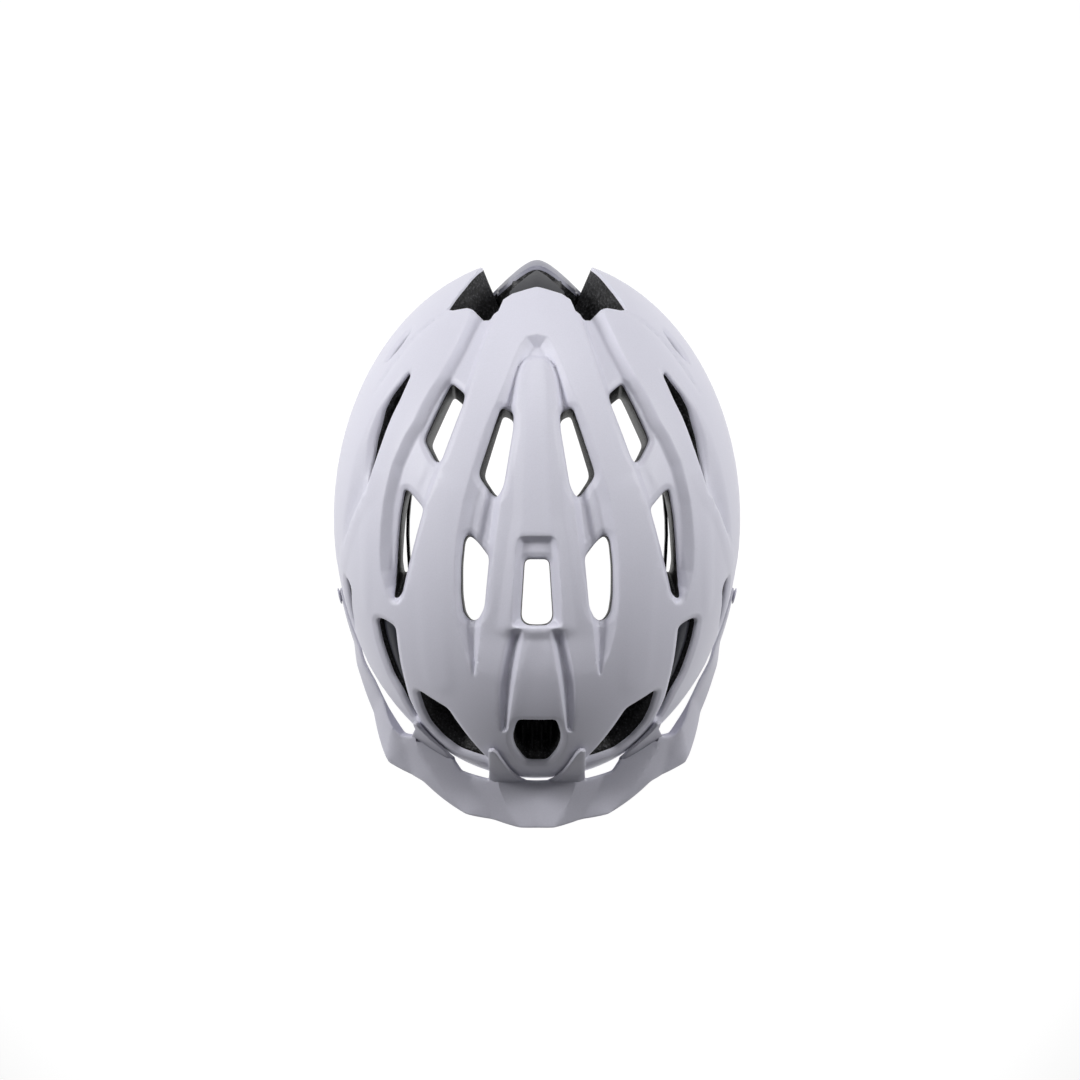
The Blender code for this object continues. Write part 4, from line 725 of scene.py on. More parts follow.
def hex_grid(limit, pitch):
    """Hexagonal grid of points inside an outline."""
    low, high = np.asarray(limit).min(axis=0), np.asarray(limit).max(axis=0)
    ys = np.arange(low[1], high[1], pitch * 0.866)
    xs = np.arange(low[0], high[0] + pitch, pitch)
    x, y = np.meshgrid(xs, ys)
    x = x + 0.5 * pitch * (np.arange(len(ys)) % 2)[:, None]
    grid = np.stack([x.ravel(), y.ravel()], axis=1)
    return grid[inside(grid, limit)]


def cell_of(p, pitch):
    return round(p[0] / pitch), round(p[1] / pitch)


def thinned(points, pitch):
    """The first point of each cell of a square grid."""
    first = {}
    for p in points:
        first.setdefault(cell_of(p, pitch), p)
    return np.asarray(list(first.values()))


def thick_patch(uv, tris, outer, inner):
    """Closed solid between two skins over the same triangles."""
    used, index = np.unique(tris, return_inverse=True)
    tris = index.reshape(tris.shape)
    n = len(used)
    verts = np.concatenate([outer(uv[used]), inner(uv[used])])
    ends = np.concatenate([tris, np.roll(tris, -1, axis=1), np.roll(tris, -2, axis=1)])[:, :2]
    code = ends[:, 0].astype(np.int64) * n + ends[:, 1]
    back = ends[:, 1].astype(np.int64) * n + ends[:, 0]
    rim = ends[~np.isin(back, code)]
    a, b = rim[:, 0], rim[:, 1]
    faces = np.concatenate([tris, tris[:, ::-1] + n, np.stack([b, a, a + n], axis=1),
                            np.stack([b, a + n, b + n], axis=1)])
    return verts, faces


# ---------------------------------------------------------------- materials

def node(tree, kind, settings=None, **inputs):
    """New shader node with its settings and input values."""
    made = tree.nodes.new(kind)
    for key, value in (settings or {}).items():
        setattr(made, key, value)
    for key, value in inputs.items():
        made.inputs[key.replace("_", " ")].default_value = value
    return made


def feed(socket, value):
    """Sets an input to a number, or links it to another node's output."""
    if isinstance(value, float):
        socket.default_value = value
    else:
        socket.id_data.links.new(value, socket)


def calculated(tree, operation, *values):
    made = node(tree, "ShaderNodeMath", {"operation": operation})
    for socket, value in zip(made.inputs, values):
        feed(socket, value)
    return made.outputs[0]


def ramp_node(tree, source, *stops):
    """Colour ramp fed by a socket, through (position, colour or grey value) stops."""
    made = tree.nodes.new("ShaderNodeValToRGB")
    elements = made.color_ramp.elements
    while len(elements) < len(stops):
        elements.new(0.5)
    for element, (at, colour) in zip(elements, stops):
        element.position = at
        element.color = (*np.broadcast_to(colour, 3), 1.0)
    feed(made.inputs["Fac"], source)
    return made.outputs["Color"]


def shade(colour, factor):
    return tuple(min(1.0, c * factor) for c in colour)


def base_material(name, roughness, **sockets):
    m = bpy.data.materials.new(name)
    m.use_nodes = True
    shader = m.node_tree.nodes["Principled BSDF"]
    shader.inputs["Roughness"].default_value = roughness
    for key, value in sockets.items():
        shader.inputs[key.replace("_", " ")].default_value = value
    return m, m.node_tree, shader.inputs


def bump(tree, inputs, height, strength, depth):
    made = node(tree, "ShaderNodeBump", Strength=strength, Distance=depth)
    feed(made.inputs["Height"], height)
    feed(inputs["Normal"], made.outputs["Normal"])


def object_space(tree):
    return tree.nodes.new("ShaderNodeTexCoord").outputs["Object"]


def noise_of(tree, where, scale, detail=3.0, rough=0.5):
    made = node(tree, "ShaderNodeTexNoise", Scale=scale, Detail=detail, Roughness=rough)
    feed(made.inputs["Vector"], where)
    return made.outputs["Fac"]


def cells_of(tree, where, kind, **inputs):
    made = node(tree, "ShaderNodeTexVoronoi", {"feature": kind}, **inputs)
    feed(made.inputs["Vector"], where)
    return made.outputs["Distance"]


def multiplied(tree, a, b):
    """Product of two colours."""
    made = node(tree, "ShaderNodeMix", {"data_type": "RGBA", "blend_type": "MULTIPLY"})
    for slot, value in zip((0, 6, 7), (1.0, a, b)):
        feed(made.inputs[slot], value)
    return made.outputs[2]


def moulded(name, colour, roughness, speckle, grain, depth=0.00004, edge_wear_and_highlight=1.06):
    """Moulded or sprayed plastic: fine speckle, broad tone change, edges lighter as wear and
    painted highlight, creases darker as painted shade.
    """
    m, tree, inputs = base_material(name, roughness)
    where = object_space(tree)
    fine = noise_of(tree, where, grain, 4.0, 0.65)
    tone = ramp_node(tree, fine, (0.3, shade(colour, 1 - speckle)),
                     (0.7, shade(colour, 1 + speckle)))
    cloudy = ramp_node(tree, noise_of(tree, where, 14.0, 2.0), (0.3, 0.97), (0.7, 1.0))
    # Pointiness lightens convex edges, partly as wear and partly as painted highlight, and darkens
    # creases as painted shade.
    edges = tree.nodes.new("ShaderNodeNewGeometry").outputs["Pointiness"]
    edge_wear_highlight_crease_shade = ramp_node(tree, edges, (0.46, 0.94), (0.5, 0.97), (0.56, min(1.0, 0.97 * edge_wear_and_highlight)))
    feed(inputs["Base Color"], multiplied(tree, multiplied(tree, tone, cloudy), edge_wear_highlight_crease_shade))
    feed(inputs["Roughness"], ramp_node(tree, fine, (0.3, roughness - 0.05),
                                        (0.7, roughness + 0.05)))
    bump(tree, inputs, fine, 0.35, depth)
    return m


def bead_foam(name):
    """Black expanded bead foam: cells of uneven size, each a little domed, with painted highlight
    on each bead's middle and painted shade between the beads.
    """
    m, tree, inputs = base_material(name, 0.5, Specular_IOR_Level=0.45)
    where = object_space(tree)
    beads = cells_of(tree, where, "SMOOTH_F1", Scale=640.0, Randomness=1.0, Smoothness=0.25)
    # Bead middles are painted lighter as a highlight, and the gaps between beads darker as painted
    # shade.
    tone = ramp_node(tree, beads, (0.0, (0.15, 0.15, 0.16)), (0.28, (0.032, 0.032, 0.036)),
                     (0.7, 0.003))
    patchy = ramp_node(tree, noise_of(tree, where, 260.0, 2.0), (0.35, 0.5), (0.65, 1.0))
    feed(inputs["Base Color"], multiplied(tree, tone, patchy))
    fine = noise_of(tree, where, 1500.0, 2.0)
    bump(tree, inputs, calculated(tree, "MULTIPLY_ADD", beads, -1.0, fine), 0.8, 0.0005)
    return m


def woven(name, colour):
    """Flat webbing: rows of ribs across the strip and a chevron along it, from the strip's
    own lengthways and crossways position in millimetres."""
    m, tree, inputs = base_material(name, 0.72, Sheen_Weight=0.35, Sheen_Roughness=0.4)
    place = node(tree, "ShaderNodeAttribute", {"attribute_name": "strip"})
    split = tree.nodes.new("ShaderNodeSeparateXYZ")
    feed(split.inputs[0], place.outputs["Vector"])

    def wave(socket, pitch):
        return calculated(tree, "SINE", calculated(tree, "MULTIPLY", socket,
                                                   2 * math.pi / pitch))

    ribs = wave(split.outputs["X"], 1.05)
    chevron = wave(calculated(tree, "MULTIPLY_ADD", ribs, 0.26, split.outputs["Y"]), 0.95)
    spread = node(tree, "ShaderNodeMapRange", From_Min=-1.5, From_Max=1.5)
    feed(spread.inputs["Value"], calculated(tree, "MULTIPLY_ADD", chevron, 0.5, ribs))
    weave = spread.outputs["Result"]
    # The colour follows the weave's bump: painted highlight on the raised ribs and painted shade in
    # the furrows.
    tone = ramp_node(tree, weave, (0.1, shade(colour, 0.45)), (0.9, shade(colour, 1.5)))
    fuzz = ramp_node(tree, noise_of(tree, object_space(tree), 240.0), (0.3, 0.82), (0.7, 1.0))
    feed(inputs["Base Color"], multiplied(tree, tone, fuzz))
    bump(tree, inputs, weave, 0.6, 0.00025)
    return m


def knitted(name, colour):
    """Brushed knit over a foam pad: small loops with a soft nap."""
    m, tree, inputs = base_material(name, 0.85, Sheen_Weight=0.5, Sheen_Roughness=0.5)
    where = object_space(tree)
    loops = cells_of(tree, where, "F1", Scale=900.0, Randomness=0.35)
    # Lighter loop middles and darker gaps follow the bump: painted highlight on the loops and
    # painted shade between them.
    tone = ramp_node(tree, loops, (0.1, shade(colour, 1.5)), (0.8, shade(colour, 0.35)))
    nap = ramp_node(tree, noise_of(tree, where, 420.0, 4.0, 0.7), (0.3, 0.7), (0.75, 1.0))
    feed(inputs["Base Color"], multiplied(tree, tone, nap))
    bump(tree, inputs, loops, -0.5, 0.0004)
    return m


def brushed_steel(name):
    m, tree, inputs = base_material(name, 0.3, Metallic=1.0)
    stretch = node(tree, "ShaderNodeMapping", Scale=(1.0, 1.0, 14.0))
    feed(stretch.inputs["Vector"], object_space(tree))
    scratches = noise_of(tree, stretch.outputs["Vector"], 300.0, 4.0)
    feed(inputs["Base Color"], ramp_node(tree, scratches, (0.3, (0.42, 0.43, 0.45)),
                                         (0.7, (0.66, 0.67, 0.7))))
    feed(inputs["Roughness"], ramp_node(tree, scratches, (0.3, 0.22), (0.7, 0.38)))
    bump(tree, inputs, scratches, 0.2, 0.00004)
    return m


WHITE = (0.74, 0.735, 0.83)
# Colour, roughness, speckle, grain, and, where they differ, bump depth and edge lightening for wear
# and painted highlight.
MOULDED = {
    "shell_white": (WHITE, 0.48, 0.025, 1300.0, 0.00005),
    # The visor's copy of the shell white is darkened by 0.85 as painted shade, for its face tilted
    # away from the light.
    "visor_white": (shade(WHITE, 0.85), 0.5, 0.03, 1100.0, 0.00006),
    "shell_grey": ((0.27, 0.27, 0.335), 0.4, 0.03, 1300.0),
    "panel_dark": ((0.035, 0.036, 0.043), 0.5, 0.05, 900.0),
    "insert_dark": ((0.032, 0.034, 0.045), 0.34, 0.05, 900.0),
    "piping": ((0.03, 0.03, 0.033), 0.7, 0.1, 1600.0, 0.0001),
    "thread": ((0.2, 0.2, 0.22), 0.6, 0.12, 2200.0, 0.00005),
    "black_plastic": ((0.022, 0.022, 0.024), 0.42, 0.12, 1500.0, 0.00008, 1.5),
    "dial": ((0.05, 0.05, 0.054), 0.5, 0.1, 1500.0, 0.00008, 1.4),
    "pinion": ((0.13, 0.13, 0.135), 0.35, 0.06, 1200.0),
}
LOOK = {name: moulded(name, *row) for name, row in MOULDED.items()}
LOOK["foam"] = bead_foam("foam")
LOOK["pad"] = knitted("pad", (0.055, 0.055, 0.062))
LOOK["webbing"] = woven("webbing", (0.035, 0.035, 0.038))
LOOK["steel"] = brushed_steel("steel")


# ---------------------------------------------------------------- pieces

def in_scene(name, data):
    """New object of the scene."""
    obj = bpy.data.objects.new(name, data)
    bpy.context.scene.collection.objects.link(obj)
    return obj


def piece(name, verts, faces, look, body, stands_for=(), sharp=38.0):
    """Mesh object from millimetre vertices, riding on a body."""
    mesh = bpy.data.meshes.new(name)
    mesh.from_pydata(np.asarray(verts, float) * MM, [], faces)
    mesh.validate()
    mesh.update()
    mesh.materials.append(LOOK[look])
    mesh.shade_smooth()
    mesh.set_sharp_from_angle(angle=math.radians(sharp))
    obj = in_scene(name, mesh)
    if body:
        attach(obj, body)
    if stands_for:
        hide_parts(*stands_for)
    return obj


def solid(name, uv, tris, outer, inner, look, stands_for, body="helmet", sharp=38.0):
    """Piece between two skins over the same triangles."""
    verts, faces = thick_patch(uv, tris, outer, inner)
    piece(name, verts, faces, look, body, [stands_for], sharp)


# Rows of mesh points, by their distance in from an outline, or out from it where negative.
LIP_ROWS = (-0.25, -0.7, -1.3, -2.0, -2.8, -3.6, -4.5)
BLIND_ROWS = (0.4, 1.2)
SUNK_ROWS = (0.02, 0.5, 1.1, 1.8, 2.6, 3.4, 4.0, 4.6, 5.6, 6.6, 7.5, 8.4)
SPINE_ROWS = (0.0, -0.9, -2.5, -4.5, -6.0)
FIELD_ROWS = (0.0, 1.5, 3.0)
CROWN_ROWS = (0.3, 0.7, 1.2)
BAND_ROWS = (-0.4, -0.9, -1.6, -1.9, -2.1, -2.3, -2.8, 1.2)
RIM_ROWS = (0.3, 0.8, 1.4, 2.0)
RIM_PITCH = 3.0
RIB_GRID = 0.9
LEAST_GAP = 0.36
GRID_CLEARANCE = 1.5
EDGE_CLEARANCE = 0.12
# Least wall left at a lip, and how much thicker the tail band is than the crown shell.
LIP_THICKNESS = 0.5
BAND_EXTRA = 1.2


def shell_points(openings):
    """Free mesh points: rows beside every edge and crease, and a grid between them."""
    beside = [(openings, LIP_ROWS), ([loop for loop, _ in BLIND], BLIND_ROWS),
              ([row[0] for row in SUNK], SUNK_ROWS), ([SPINE], SPINE_ROWS), ([FIELD], FIELD_ROWS)]
    free = [rows_beside(loop, offsets) for loops, offsets in beside for loop in loops]
    ribbed = hex_grid(RIBBED_VENT, RIB_GRID)
    free.append(ribbed[distance(ribbed, RIBBED_VENT, 2.0) > 1.3])
    free += [rows_beside(CROWN_OUTLINE, CROWN_ROWS), rows_beside(LOWER_TOP, BAND_ROWS),
             rows_beside(RIM_LOOP, RIM_ROWS, RIM_PITCH)]
    free += [np.asarray(spaced(crease, closed=False)) for crease, _, _ in CREASE_LINES]
    rows = thinned(np.concatenate(free), LEAST_GAP)
    taken = {cell_of(p, GRID_CLEARANCE) for p in rows}
    grid = [p for p in hex_grid(RIM_LOOP, GRID) if cell_of(p, GRID_CLEARANCE) not in taken]
    return np.concatenate([rows, np.asarray(grid)])


def build_shells():
    crown, lower, rim = spaced(CROWN_OUTLINE), spaced(LOWER_TOP), spaced(RIM_LOOP, RIM_PITCH)
    openings = [clean(spaced(loop)) for loop in OPENINGS]
    loops = [crown, lower, rim] + openings
    free = shell_points(openings)
    free = free[inside(free, RIM_LOOP)]
    keep = np.ones(len(free), bool)
    for loop in loops:
        keep &= distance(free, loop, 1.0) > EDGE_CLEARANCE
    uv, tris = triangulated(loops, free[keep])
    centre = uv[tris].mean(axis=1)

    def within(outlines):
        return np.any([inside(centre, loop) for loop in outlines], axis=0)

    in_rim, in_through = inside(centre, rim), within([row[0] for row in THROUGH])
    white = in_rim & inside(centre, crown) & ~in_through & ~within([loop for loop, _ in BLIND])
    grey = in_rim & ~inside(centre, lower)

    def crown_inside(p):
        sunk = relief(p)
        return at_depth(p, np.maximum(sunk + SHELL_THICKNESS, sunk + lips(p) + LIP_THICKNESS))

    def band_inside(p):
        return at_depth(p, keel(p) + SHELL_THICKNESS + BAND_EXTRA)

    def foam_outside(p):
        return at_depth(p, under_skin(p))

    def foam_inside(p):
        q = drawn_in(p)
        return at_depth(q, cavity_depth(q) - foam_grooves(q))

    solid("shell_skin", uv, tris[white], white_skin, crown_inside, "shell_white", "outer_shell")
    solid("tail_shell", uv, tris[grey], grey_skin, band_inside, "shell_grey", "lower_shell")
    solid("foam_liner", uv, tris[in_rim & ~in_through], foam_outside, foam_inside, "foam",
          "eps_liner", sharp=50.0)


PATCH_PITCH = 2.5
PATCH_EDGE = 1.5


def patch_piece(name, outline, outer, inner, look, stands_for):
    """Closed solid over an outline of the pattern, between two skins."""
    loop = clean(spaced(outline, PATCH_EDGE))
    grid = hex_grid(loop, PATCH_PITCH)
    rows = rows_beside(loop, (0.5, 1.1, 1.8), PATCH_EDGE)
    free = np.concatenate([rows, grid[distance(grid, loop, 3.0) > 2.4]])
    free = free[inside(free, loop) & (distance(free, loop, 1.0) > 0.2)]
    uv, tris = triangulated([loop], free)
    tris = tris[inside(uv[tris].mean(axis=1), loop)]
    solid(name, uv, tris, outer, inner, look, stands_for)


# Dark panel inside the tail band, folded along its middle: outline in plan at its depth.
TAIL_PANEL = full_loop([(0, 129.8), (-14.7, 119.6), (-14.5, 111.5), (0, 114.0)])
PANEL_DEPTH = 8.0
PANEL_FOLD, PANEL_HALF = 3.0, 14.0
PANEL_THICKNESS = 2.0
# Smooth inserts in the side front vents, with a sloped border.
INSERT_GAP = 0.7
INSERT_DEPTH = 5.4
INSERT_FOLD, INSERT_BORDER = 1.4, 3.2
INSERT_THICKNESS = 2.2
INSERT_ROUND = 0.8


def build_inserts():
    panel = pattern(TAIL_PANEL, 0.8, PANEL_DEPTH)

    def panel_skin(p):
        ridge = PANEL_FOLD * unit(1 - np.abs(dome(p)[:, 0]) / PANEL_HALF)
        return at_depth(p, PANEL_DEPTH - ridge + rolled(distance(p, panel, INSERT_ROUND),
                                                        INSERT_ROUND))

    def panel_back(p):
        return at_depth(p, np.full(len(p), PANEL_DEPTH + PANEL_THICKNESS))

    patch_piece("tail_panel", panel, panel_skin, panel_back, "panel_dark", "rear_panel")
    for side, vent in zip(("left", "right"), both_sides(pattern(SIDE_FRONT_VENT, 3.0, 2.4))):
        loop = clean(inset(spaced(vent), INSERT_GAP), 0.8)

        def blade(p, loop=loop):
            fold = INSERT_FOLD * unit(distance(p, loop, 4.0) / INSERT_BORDER)
            return at_depth(p, relief(p) + INSERT_DEPTH - fold
                            + rolled(distance(p, loop, INSERT_ROUND), INSERT_ROUND))

        def blade_back(p):
            return at_depth(p, relief(p) + INSERT_DEPTH + INSERT_THICKNESS)

        patch_piece("vent_louvre_" + side, loop, blade, blade_back, "insert_dark",
                    "vent_insert_" + side)


# ---------------------------------------------------------------- visor

VISOR_THICKNESS = 1.8
LIFT = 0.7
# Tilt of the brim below level and height of its root, against degrees from the front.
BRIM = [(0, 8, 41.5), (15, 11, 41.5), (27, 18, 41), (36, 32, 41), (46, 54, 38),
        (54, 70, 34.8), (62, 82, 32.3), (76, 88, 29.6)]
BRIM_REACH = 1.0035
BRIM_START = 3.0
PER_DEGREE = 2.25
PER_RADIAN_UP = 118.0
SLOT_AT = 5.6
SLOT_HALF = 3.65


def brim_at(turn):
    rows = np.asarray(BRIM, float)
    a = np.abs(turn)
    return np.radians(np.interp(a, rows[:, 0], rows[:, 1])), np.interp(a, rows[:, 0], rows[:, 2])


def visor_point(turn, across):
    """Visor underside: turn is signed degrees from the front (left negative); across runs
    outward over the brim in millimetres, or, below zero, up over the shell."""
    tilt, root = brim_at(turn)
    a = np.radians(turn)
    gap = LIFT - SEAT_DEPTH * eased((np.abs(turn) - SEAT_FROM) / SEAT_RAMP_IN)
    w, l, rise = HALF_WIDTH + gap, HALF_LENGTH + gap, CROWN_RISE + LIFT
    h = (root - WIDEST_Z) / rise
    down = np.arctan2(partner(h), h) + np.minimum(across, 0) / PER_RADIAN_UP
    s, c = np.sin(down), np.cos(down)
    g = swell(s, c)
    reach, z = g * s, WIDEST_Z + rise * g * c
    out = np.maximum(across, 0)
    normal = np.stack([np.sin(a) / w, -np.cos(a) / l], axis=-1)
    normal /= np.linalg.norm(normal, axis=-1, keepdims=True)
    lead = unit(out / BRIM_START) * (BRIM_REACH - reach) * np.hypot(w * np.sin(a), l * np.cos(a))
    step = out * np.cos(tilt) + np.maximum(lead, 0)
    x = w * reach * np.sin(a) + normal[..., 0] * step
    y = -l * reach * np.cos(a) + normal[..., 1] * step
    return np.stack([x, y, z - out * np.sin(tilt)], axis=-1)


def on_brim(*points):
    """Outline points over the brim, from degrees and fractions of the envelope in plan."""
    found = []
    for turn, reach in points:
        a = math.radians(turn)
        size = math.hypot(HALF_WIDTH * math.sin(a), HALF_LENGTH * math.cos(a))
        found.append((turn, (reach - BRIM_REACH) * size / math.cos(float(brim_at(turn)[0]))))
    return found


def on_shell(*points):
    """The same for the points of a prong lying on the shell."""
    found = []
    for turn, reach in points:
        h = (float(brim_at(turn)[1]) - WIDEST_Z) / CROWN_RISE
        up = math.atan2(partner(h), h) - math.atan2(reach, partner(reach))
        found.append((turn, -PER_RADIAN_UP * up))
    return found


VISOR_EDGE = on_brim((0, 1.174), (3.6, 1.1725), (9.0, 1.162), (15.4, 1.1665), (21, 1.151),
                     (27, 1.1334), (31.5, 1.146), (35.0, 1.1525))
VISOR_EDGE += [(46.1, 16.5), (54.0, 15.5), (62.3, 13.2), (74.4, 10.8)]
VISOR_SLOT = [(74.4, SLOT_AT + SLOT_HALF), (72.3, SLOT_AT + SLOT_HALF), (71.0, SLOT_AT + 1.9),
              (71.0, SLOT_AT - 1.9), (72.3, SLOT_AT - SLOT_HALF), (74.4, SLOT_AT - SLOT_HALF)]
OUTER_PRONG = on_shell((36.2, 0.972), (37.6, 0.957), (36.6, 0.951), (35.2, 0.957),
                       (30.5, 0.969), (26.4, 0.978))
INNER_PRONG = on_shell((13.6, 0.96), (14.4, 0.91), (14.9, 0.884), (13.4, 0.876), (12.0, 0.886),
                       (9.7, 0.918), (6.4, 0.963))
VISOR_ROOT = ([(74.4, 0.6), (68.0, 0.0), (60.0, 0.0), (52.0, 0.3), (44.0, 3.2), (37.5, 5.2),
               (35.6, 2.0)] + OUTER_PRONG + [(23.5, 0.6), (20.4, 3.0), (12.9, 2.2)]
              + INNER_PRONG + [(3.3, 0.4), (0, 0.4)])
RIDGES = [on_shell((37.0, 0.956)) + [(35.8, 0.0)] + on_brim((15.4, 1.1665)),
          on_shell((14.0, 0.882)) + [(11.0, 0.0)] + on_brim((3.6, 1.1725)),
          [(40.0, 4.0)] + on_brim((35, 1.1525))]
RIDGE_RISE = 4.6
RIDGE_REACH = 17.0
# A ridge fades up a prong over this length, down to this share of its height.
PRONG_FADE, PRONG_LEAST = 18.0, 0.2
VISOR_EDGE_PITCH = 1.4
VISOR_GRID = (2.4, 2.0)
VISOR_ROUND = 1.0
TOP_ROLL, BOTTOM_ROLL = 0.7, 0.5
SLOPE_STEP = 0.4


def build_visor():
    left = [(-t * PER_DEGREE, w) for t, w in VISOR_EDGE + VISOR_SLOT + VISOR_ROOT]
    loop = clean(spaced(rounded(full_loop(left), 1.2, 3), VISOR_EDGE_PITCH))
    loop = loop if area(loop) > 0 else loop[::-1]
    lines = [spaced([(side * t * PER_DEGREE, w) for t, w in ridge], 1.5, closed=False)
             for ridge in RIDGES for side in (-1, 1)]
    low, high = np.min(loop, axis=0), np.max(loop, axis=0)
    x, y = np.meshgrid(*(np.arange(*span) for span in zip(low, high, VISOR_GRID)))
    grid = np.stack([x.ravel(), y.ravel()], axis=1)
    off = distance(grid, loop, 3.0)
    for line in lines:
        off = np.minimum(off, distance(grid, line, 3.0, closed=False) + 1.0)
    free = np.concatenate([rows_beside(loop, (0.3, 0.7, 1.2), VISOR_EDGE_PITCH), *lines,
                           grid[off > 2.0]])
    free = thinned(free[inside(free, loop) & (distance(free, loop, 1.0) > 0.15)], 0.4)
    uv, tris = triangulated([loop], free)
    tris = tris[inside(uv[tris].mean(axis=1), loop)][:, ::-1]

    def under(p):
        return visor_point(p[:, 0] / PER_DEGREE, p[:, 1])

    def lifted(p, height):
        du, dv = (under(p + step) - under(p - step) for step in np.eye(2) * SLOPE_STEP)
        n = np.cross(dv, du)
        n /= np.linalg.norm(n, axis=1, keepdims=True)
        return under(p) + n * height[:, None]

    def edge_roll(p):
        return rolled(distance(p, loop, VISOR_ROUND), VISOR_ROUND)

    def top(p):
        raised = np.zeros(len(p))
        for line in lines:
            near = 1 - distance(p, line, RIDGE_REACH, closed=False) / RIDGE_REACH
            raised = np.maximum(raised, RIDGE_RISE * near * np.clip(1 + p[:, 1] / PRONG_FADE,
                                                                    PRONG_LEAST, 1))
        return lifted(p, VISOR_THICKNESS + raised - edge_roll(p) * TOP_ROLL)

    def bottom(p):
        return lifted(p, edge_roll(p) * BOTTOM_ROLL)

    solid("visor_skin", uv, tris, top, bottom, "visor_white", "visor", "visor", 30.0)


# ---------------------------------------------------------------- pads

PAD_VOXEL = 0.0024
PAD_FRAMES = 20
PAD_SWELL = 0.0022
PAD_ROUND = 6.0
CLOTH = {"use_pressure": True, "uniform_pressure_force": 4.0, "mass": 0.2,
         "tension_stiffness": 25.0, "compression_stiffness": 25.0, "bending_stiffness": 3.0}


def freeze(obj):
    """Applies the object's modifiers to its mesh."""
    graph = bpy.context.evaluated_depsgraph_get()
    mesh = bpy.data.meshes.new_from_object(obj.evaluated_get(graph))
    obj.modifiers.clear()
    obj.data = mesh


def values_of(items, key):
    """Vectors of all the items of a mesh layer."""
    found = np.zeros(len(items) * 3)
    items.foreach_get(key, found)
    return found.reshape(-1, 3)


def stuffed(node_name):
    """Copy of a CAD pad as an even mesh, swollen by a cloth simulation between its faces."""
    obj = in_scene(node_name.replace("pad", "cushion"), frame["nodes"][node_name].data.copy())
    remesh = obj.modifiers.new("even", "REMESH")
    remesh.mode = "VOXEL"
    remesh.voxel_size = PAD_VOXEL
    smooth = obj.modifiers.new("soft", "SMOOTH")
    smooth.factor = 0.6
    smooth.iterations = 4
    freeze(obj)
    rest = values_of(obj.data.vertices, "co")
    cloth = obj.modifiers.new("swell", "CLOTH")
    for key, value in CLOTH.items():
        setattr(cloth.settings, key, value)
    cloth.settings.effector_weights.gravity = 0.0
    cloth.point_cache.frame_end = PAD_FRAMES
    for f in range(1, PAD_FRAMES + 1):
        bpy.context.scene.frame_set(f)
    freeze(obj)
    move = values_of(obj.data.vertices, "co") - rest
    size = np.linalg.norm(move, axis=1, keepdims=True)
    move *= np.minimum(1.0, PAD_SWELL / np.maximum(size, 1e-9))
    obj.data.vertices.foreach_set("co", (rest + move).ravel())
    bpy.context.scene.frame_set(1)
    return obj


def ring_faces(rings, count, closed=False):
    """Quads between rings of points, and a face over each end unless the row is closed."""
    faces = []
    for j in range(rings if closed else rings - 1):
        a, b = j * count, (j + 1) % rings * count
        faces += [(a + k, a + (k + 1) % count, b + (k + 1) % count, b + k) for k in range(count)]
    if not closed:
        faces += [tuple(reversed(range(count))), tuple(range((rings - 1) * count, rings * count))]
    return faces


def bound_edge(name, path, radius=0.75, sides=8):
    """Closed round cord through points in millimetres."""
    p = [Vector(q) for q in path]
    verts = []
    up = Vector((0, 0, 1))
    for i, q in enumerate(p):
        along = (p[(i + 1) % len(p)] - p[i - 1]).normalized()
        up = (up - along * up.dot(along)).normalized()
        y = along.cross(up)
        turns = (2 * math.pi * k / sides for k in range(sides))
        verts += [q + (up * math.cos(t) + y * math.sin(t)) * radius for t in turns]
    return piece(name, verts, ring_faces(len(p), sides, closed=True), "piping", "helmet")


BROW_LOWER = [(54, 14), (48, 10.5), (40, 10), (20, 12), (0, 13)]
BROW_UPPER = [(0, 40), (20, 39), (40, 34), (50, 28), (56, 20)]
CROWN_PAD = full_loop([(-8, 58), (-9.5, 40), (-11.5, 12), (-10, -3)])
RIB_PAD = [(-25, 82), (-31, 80), (-36, 56), (-44, 28), (-54, 1), (-61, -28), (-60, -54),
           (-50, -56), (-43, -20), (-34.5, 14), (-27, 46)]
SIDE_PAD = [(103, 24), (105, 15), (112, 10), (120, 10), (125, 16), (125, 27), (119, 33),
            (109, 34)]
# A sewn channel runs along each pad, inside its bound edge.
CHANNEL_IN = 5.5
CHANNEL_PRESS = 0.0011
CHANNEL_SPREAD = 0.0016


def pad_outlines():
    """Outline of each pad in the pattern, by the name of its CAD node."""
    brow = full_loop([around(a, z) for a, z in BROW_LOWER[::-1] + BROW_UPPER[::-1]])
    rib, flank = in_plan(RIB_PAD), [around(a, z) for a, z in SIDE_PAD]
    return {"brow_pad": brow, "crown_pad": in_plan(CROWN_PAD),
            "rib_pad_left": rib, "rib_pad_right": mirrored(rib),
            "side_pad_left": flank, "side_pad_right": mirrored(flank)}


def pad_middle(loop):
    """Points in the middle of a pad's thickness, under an outline of the pattern."""
    loop = np.asarray(loop)
    return at_depth(loop, cavity_depth(loop) + PAD_GAP + 0.5 * PAD_THICKNESS)


def press_channel(obj, line):
    """Presses a sewn channel into both faces of a pad along a line through its middle."""
    co = values_of(obj.data.vertices, "co")
    normal = values_of(obj.data.vertex_normals, "vector")
    best = np.full(len(co), 1.0)
    for start, end in zip(line, np.roll(line, -1, axis=0)):
        gap = off_segment(co, start, end)
        gap -= normal * np.sum(gap * normal, axis=1)[:, None]
        best = np.minimum(best, np.linalg.norm(gap, axis=1))
    co -= normal * (CHANNEL_PRESS * np.exp(-(best / CHANNEL_SPREAD) ** 2))[:, None]
    obj.data.vertices.foreach_set("co", co.ravel())
    obj.data.update()


